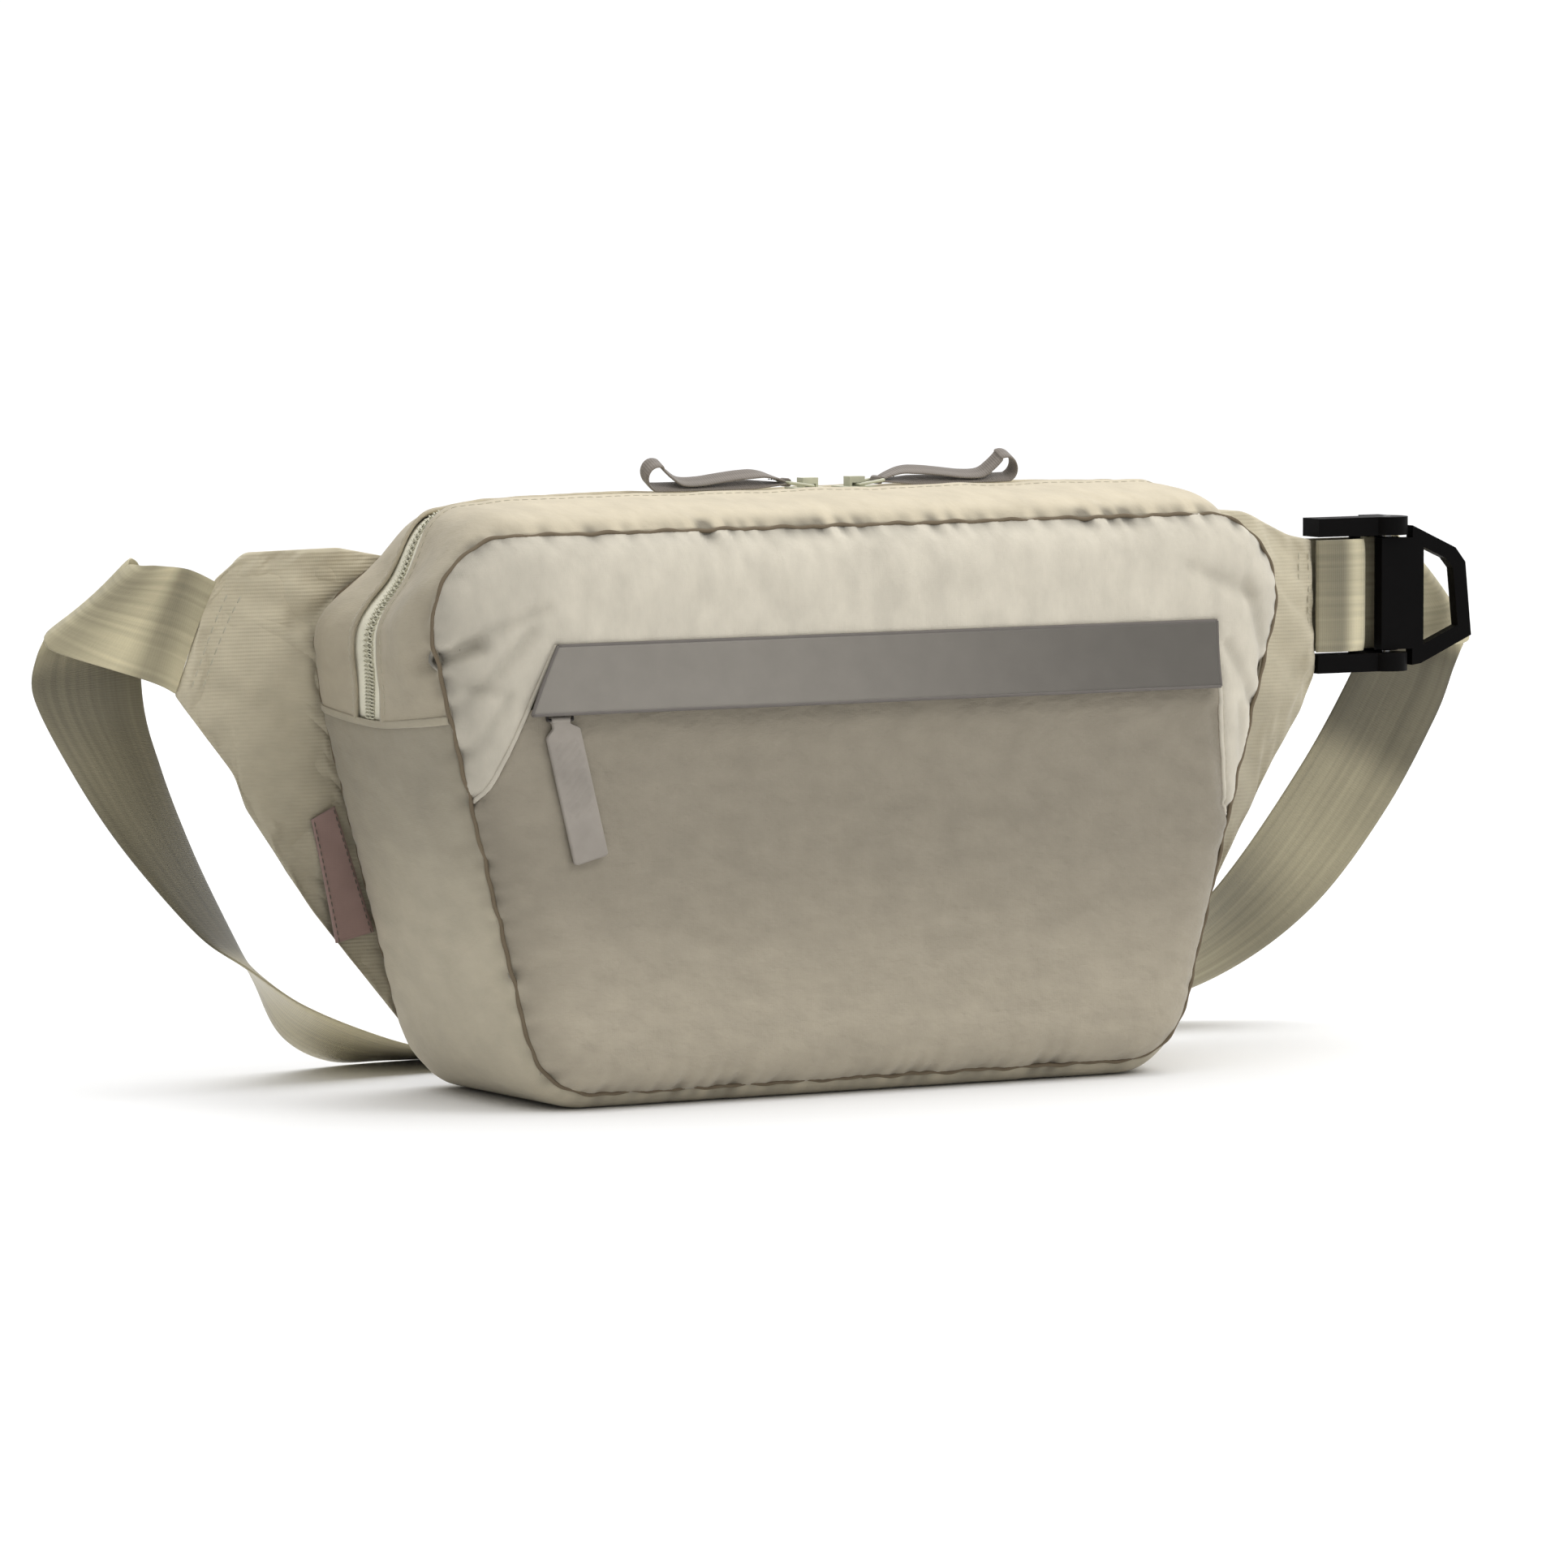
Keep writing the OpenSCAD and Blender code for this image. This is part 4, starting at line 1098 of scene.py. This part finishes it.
def build_flap():
    u, v = lattice(np.linspace(0, 1, 220), np.linspace(0, 1, 22))
    cloth = make_piece("flap_cloth", flap_surface(u, v), grid_faces(220, 22), COATED, "flap",
                       "storm_flap")
    thicken(cloth, 1.0 * MM, 0)
    long_edge, short_edge = np.linspace(0, 1, 160), np.linspace(0, 1, 40)
    edges = ((long_edge, 1), (long_edge, 0), (0, short_edge), (1, short_edge))
    points, faces = join([sweep_tube(flap_surface(u, v), 0.62 * MM, 8) for u, v in edges])
    make_piece("flap_hem", points, faces, COATED_EDGE, "flap")


# ---- label ----

def build_label():
    corners = np.array([(-half_at(0.051) - 1.6 * MM, 0.051), (-half_at(0.092) - 4.6 * MM, 0.092),
               (-half_at(0.088) - 14 * MM, 0.088), (-half_at(0.048) - 16 * MM, 0.048)])
    rows, cols = 34, 14
    v, u = lattice(np.linspace(0, 1, rows), np.linspace(0, 1, cols))
    x, z = [(1 - v) * ((1 - u) * c[0] + u * c[3]) + v * ((1 - u) * c[1] + u * c[2]) for c in corners.T]
    y = mid_y("side_label") - 0.35 * MM * np.sin(v * 3.1) * u
    label = make_piece("side_tag", points_at(x, y, z), grid_faces(rows, cols), LABEL,
                       node="side_label")
    thicken(label, 0.7 * MM, 0)
    surface = points_at(x, y - 0.5 * MM, z).reshape(rows, cols, 3)
    stitches("side_tag_stitches", [surface[:, 1], surface[:, -2]], THREAD_DARK, slot="label",
             length=1.6 * MM, gap=0.8 * MM, radius=0.2 * MM)


# ---- padded pieces ----

def resample(corners, count):
    """A polyline through corners (mm) as count points evenly spaced, in metres."""
    corners = np.array(corners, float) * MM
    run = np.concatenate([[0], np.cumsum(np.hypot(*np.diff(corners, axis=0).T))])
    at = np.linspace(0, run[-1], count)
    return np.column_stack([np.interp(at, run, corners[:, k]) for k in range(2)])


def pillow(grid, middle_y, thickness, border=0.25):
    """A closed cushion over a grid of x and z: two faces that meet in a rim. Returns its points, faces and
    the rim's point numbers."""
    rows, cols = grid.shape[:2]
    v = np.abs(np.linspace(-1, 1, rows))[:, None]
    u = np.abs(np.linspace(-1, 1, cols))[None]
    full = np.sqrt(np.maximum(border ** 2, (1 - v ** 6) * (1 - u ** 8)))
    sides = [np.dstack([grid[..., 0], middle_y + face * full * thickness / 2, grid[..., 1]]).reshape(-1, 3)
             for face in (-1, 1)]
    faces, rim = two_faced(rows, cols)
    return np.concatenate(sides), faces, rim + [k + rows * cols for k in rim]


def inflate(piece, rim, pressure=4.0, cap=2.5 * MM, frames=18):
    """Swells a cushion as cloth with its rim held, caps how far a point moves, and keeps the result."""
    rest = np.array([v.co for v in piece.data.vertices])
    group = piece.vertex_groups.new(name="rim")
    group.add(rim, 1.0, "REPLACE")
    cloth = piece.modifiers.new("cloth", "CLOTH")
    cloth.settings.effector_weights.gravity = 0
    for setting, value in (("vertex_group_mass", "rim"), ("use_pressure", True), ("shrink_min", -0.04),
                           ("uniform_pressure_force", pressure), ("tension_stiffness", 8),
                           ("bending_stiffness", 0.05)):
        setattr(cloth.settings, setting, value)
    scene = bpy.context.scene
    for step in range(1, frames + 1):
        scene.frame_set(step)
    swollen = piece.evaluated_get(bpy.context.evaluated_depsgraph_get()).to_mesh()
    moved = np.array([v.co for v in swollen.vertices])
    piece.to_mesh_clear()
    piece.modifiers.remove(cloth)
    scene.frame_set(1)
    shift = moved - rest
    far = np.linalg.norm(shift, axis=1, keepdims=True)
    shift *= np.minimum(1, cap / np.maximum(far, 1e-9))
    piece.data.vertices.foreach_set("co", (rest + shift).astype(np.float32).ravel())
    piece.data.update()


def smooth_out(piece):
    rounder = piece.modifiers.new("round", "SUBSURF")
    rounder.levels = 1
    rounder.render_levels = 1


def wing_grid(low_corners, high_corners):
    """x and z over a wing: columns from the bag's rear seam to the strap, rows from below to above."""
    inner = [seam_run_at(*(np.array(c[0]) * MM)) for c in (low_corners, high_corners)]
    along = np.column_stack(on_seam(np.linspace(inner[0], inner[1], 40)))[:, :4]
    seam = sag(points_at(along[:, 0], HALF_DEPTH, along[:, 1]))[:, [0, 2]]
    left = seam - 2.0 * MM * along[:, 2:]
    bottom = resample([left[0] / MM, *low_corners[1:]], 44)
    top = resample([left[-1] / MM, *high_corners[1:]], 44)
    right = bottom[-1] + np.linspace(0, 1, 40)[:, None] * (top[-1] - bottom[-1])
    return coons(bottom, top, left, right)


# Middle of the left wing's strap end and, roughly, where the right wing ends (mm)
WING_TIP = np.array([-194, 147.6])
WING_END = 228
# Folds in the wings: both ends (mm), width and depth (mm)
WING_CREASES = [((-176, 160), (-148, 152), 4, 2.2), ((-165, 171), (-140, 158), 3, 1.8),
                ((-158, 150), (-134, 160), 3, 2.0), ((-185, 128), (-160, 122), 5, 1.2),
                ((160, 165), (190, 150), 4, 1.8), ((165, 120), (185, 95), 4, 1.8),
                ((175, 80), (192, 100), 4, 1.4)]


def build_wings():
    reach = 19.5 * np.array([math.sin(TILT), math.cos(TILT)])
    shapes = {
        "left": ([(-119, 17), (-152, 58), (-176, 92), (-180, 103), WING_TIP - reach],
                 [(-134, 185), (-143, 174.8), (-176, 174.2), WING_TIP + reach]),
        "right": ([(119, 17), (165, 28), (188, 50), (202, 75), (212, 92), (222, 107), (227.6, 119),
                   (227.6, 128.5)],
                  [(134, 181.6), (155, 181), (200, 177), (218, 168.5), (227.6, 166.5)])}
    for which, (low_corners, high_corners) in shapes.items():
        grid = wing_grid(low_corners, high_corners)
        points, faces, rim = pillow(grid, mid_y("wing_" + which), 4.2 * MM)
        wing = make_piece("wing_pad_" + which, points, faces, WING_CLOTH, node="wing_" + which,
                          slack=False)
        inflate(wing, rim)
        dimple = 1.8 * MM * fbm(points, 34 * MM, 3, seed=11)
        for fold in WING_CREASES:
            dimple = dimple + crease(points[:, 0], points[:, 2], *fold)
        count = len(points) // 2
        held = {k % count for k in rim}
        for k, v in enumerate(wing.data.vertices):
            v.co.y += 0 if k % count in held else dimple[k % count]
        smooth_out(wing)


def build_back():
    """The mesh-covered back panel with its sewn channels."""
    back_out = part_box("back_panel")[1].y - HALF_DEPTH
    channels = [((-60, 20), (-74, 168)), ((60, 20), (74, 168)), ((-60, 62), (60, 62)),
                ((-66, 122), (66, 122))]
    grid = panel_grid(200, 120)
    rows, cols = grid.shape[:2]
    x, z = grid[..., 0].ravel(), grid[..., 1].ravel()
    inset, run = nearest_seam(x, z)
    rise = rise_from_seam(inset)
    edge = np.exp(-(inset / (9 * MM)) ** 1.5)
    y = HALF_DEPTH + back_out * rise - 1.2 * MM * pucker(run) * edge * rise
    for start, end in channels:
        y = y - crease(x, z, start, end, 2.2, 2.4)
    y = y + 0.3 * MM * fbm(points_at(x, y, z), 25 * MM, 3, seed=21)
    faces = [f[::-1] for f in grid_faces(rows, cols)]
    back = make_piece("back_panel_mesh", points_at(x, y, z), faces, BACK_MESH,
                      node="back_panel")
    thicken(back, 1.2 * MM)


def inner_grid(across, up, node, share):
    """x and z of a grid over the panel's outline, shrunk about the middle of a CAD node."""
    low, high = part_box(node)
    middle = np.array([0, (low.z + high.z) / 2])
    return (panel_grid(across, up) - middle) * share + middle


def build_foam():
    low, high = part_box("back_foam")
    grid = inner_grid(70, 46, "back_foam", 0.93)
    points, faces, rim = pillow(grid, mid_y("back_foam"), (high.y - low.y) * 0.8, 0.5)
    pad = make_piece("back_foam_pad", points, faces, FOAM, node="back_foam")
    inflate(pad, rim, cap=0.5 * MM, frames=10)
    smooth_out(pad)


def build_linings():
    for name, node in (("pocket_back_cloth", "pocket_back"), ("back_lining_cloth", "back_lining")):
        low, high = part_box(node)
        grid = inner_grid(90, 56, node, (high.z - low.z) / (SEAM_TOP - SEAM_LOW))
        x, z = grid[..., 0].ravel(), grid[..., 1].ravel()
        y = mid_y(node) + 0.25 * MM * fbm(points_at(x, 0, z), 40 * MM, 2, seed=31)
        cloth = make_piece(name, points_at(x, y, z), grid_faces(56, 90), LINING, node=node)


def build_inner_pocket():
    """A slip pocket of lining cloth: a slack front with side and bottom returns, and a hemmed mouth."""
    low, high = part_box("inner_pocket")
    rows, cols = 46, 90
    v, u = lattice(np.linspace(0, 1, rows), np.linspace(-1, 1, cols))
    side = np.clip((1 - np.abs(u)) / 0.035, 0, 1)
    foot = np.clip(v / 0.06, 0, 1)
    out = np.sqrt(1 - (1 - side) ** 2) * np.sqrt(1 - (1 - foot) ** 2)
    x = (low.x + high.x) / 2 + u * (high.x - low.x) / 2
    y = high.y - 0.5 * MM - (high.y - low.y - 1.0 * MM) * out
    z = low.z + v * (high.z - low.z)
    cloth = make_piece("slip_pocket_cloth", points_at(x, y, z), grid_faces(rows, cols), LINING,
                       node="inner_pocket")
    thicken(cloth, 0.5 * MM, 0)
    mouth = points_at(x, y, z).reshape(rows, cols, 3)[-3]
    stitches("slip_pocket_stitches", [mouth + np.array([0, -0.4 * MM, 0])], THREAD_DARK, slot="lining",
             length=2.4 * MM, gap=1.2 * MM, radius=0.2 * MM)


def build_bindings():
    for name, node in (("front_binding_tape", "front_binding"), ("rear_binding_tape", "rear_binding")):
        low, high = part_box(node)
        x, z, nx, nz = on_seam(np.linspace(0, SEAM_RUN, 260, endpoint=False))
        inset = 2.3 * MM
        path = points_at(x - nx * inset, mid_y(node), z - nz * inset)
        closed = np.concatenate([path, path[:1]])
        across = np.tile([0, high.y - low.y, 0], (len(closed), 1))
        sweep_band(name, closed, across, 0.9 * MM, BINDING_TAPE, node=node, columns=8)


# ---- seams and sewing ----

def build_sewing():
    """Topstitching beside the main zip and at the wings' strap ends."""
    run = np.linspace(RIGHT_END + 2 * MM, LEFT_END - 2 * MM, 400)
    lines = [gusset_points(run, np.full(400, y), 0.15 * MM)
             for y in (STRIP_FRONT_Y - TAPE_SHOWN - 2.2 * MM, STRIP_REAR_Y + 2.2 * MM)]
    stitches("zip_topstitching", lines, THREAD, length=2.4 * MM, gap=1.0 * MM, radius=0.2 * MM)
    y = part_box("wing_left")[0].y - 0.9 * MM
    height = np.linspace(-17, 17, 40)
    rows = [points_at((WING_TIP[0] + inward + height * math.sin(TILT)) * MM, y,
                      (WING_TIP[1] + height * math.cos(TILT)) * MM) for inward in (4, 8)]
    stitches("wing_stitches_left", rows, THREAD, slot="nylon_dark", radius=0.25 * MM)
    height = np.linspace(130.5, 164.5, 40)
    rows = [points_at((WING_END - inward) * MM, y, height * MM) for inward in (3, 7)]
    stitches("wing_stitches_right", rows, THREAD, slot="nylon_dark", radius=0.25 * MM)


# ---- buckle and sliders, kept from the frame ----

def dress(node, material, bevel):
    """A frame node keeps its shape and gets a material, eased edges and smooth shading on its round faces."""
    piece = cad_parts[node]
    if not piece.material_slots:
        piece.data.materials.append(material)
    for place in piece.material_slots:
        place.material = material
    piece.data.polygons.foreach_set("use_smooth", [True] * len(piece.data.polygons))
    piece.data.set_sharp_from_angle(angle=math.radians(35))
    eased = piece.modifiers.new("eased_edges", "BEVEL")
    eased.width = bevel
    eased.segments = 3
    eased.limit_method = "ANGLE"
    eased.angle_limit = math.radians(40)
    eased.harden_normals = True


def dress_hardware():
    for node, material, bevel in (
            ("buckle_frame", BUCKLE, 0.7 * MM), ("cam_lever", BUCKLE, 0.6 * MM), ("cam_pin", STEEL, 0.2 * MM),
            ("main_slider_left", CREAM, 0.25 * MM), ("main_slider_right", CREAM, 0.25 * MM),
            ("pull_ring_left", CREAM, 0.1 * MM), ("pull_ring_right", CREAM, 0.1 * MM),
            ("pocket_slider", DARK_METAL, 0.25 * MM), ("pocket_pull_ring", DARK_METAL, 0.1 * MM)):
        dress(node, material, bevel)


build_front()
build_pocket_seams()
build_gusset()
# Dark cords in both seams' valleys, partly painted shadow.
seam_cord("front_seam_cord", -HALF_DEPTH - 0.15 * MM, 0.3 * MM, 0.7 * MM)
seam_cord("rear_seam_cord", HALF_DEPTH, 0.3 * MM, 0.7 * MM)
build_hems()
build_strap()
build_anchor()
build_main_coil()
build_pocket_zip()
build_ribbon(-1, "ribbon_left_cloth", "ribbon_pull_left", "pull_left")
build_ribbon(1, "ribbon_right_cloth", "ribbon_pull_right", "pull_right")
build_tab()
build_flap()
build_label()
build_wings()
build_back()
build_foam()
build_linings()
build_inner_pocket()
build_bindings()
build_sewing()
dress_hardware()
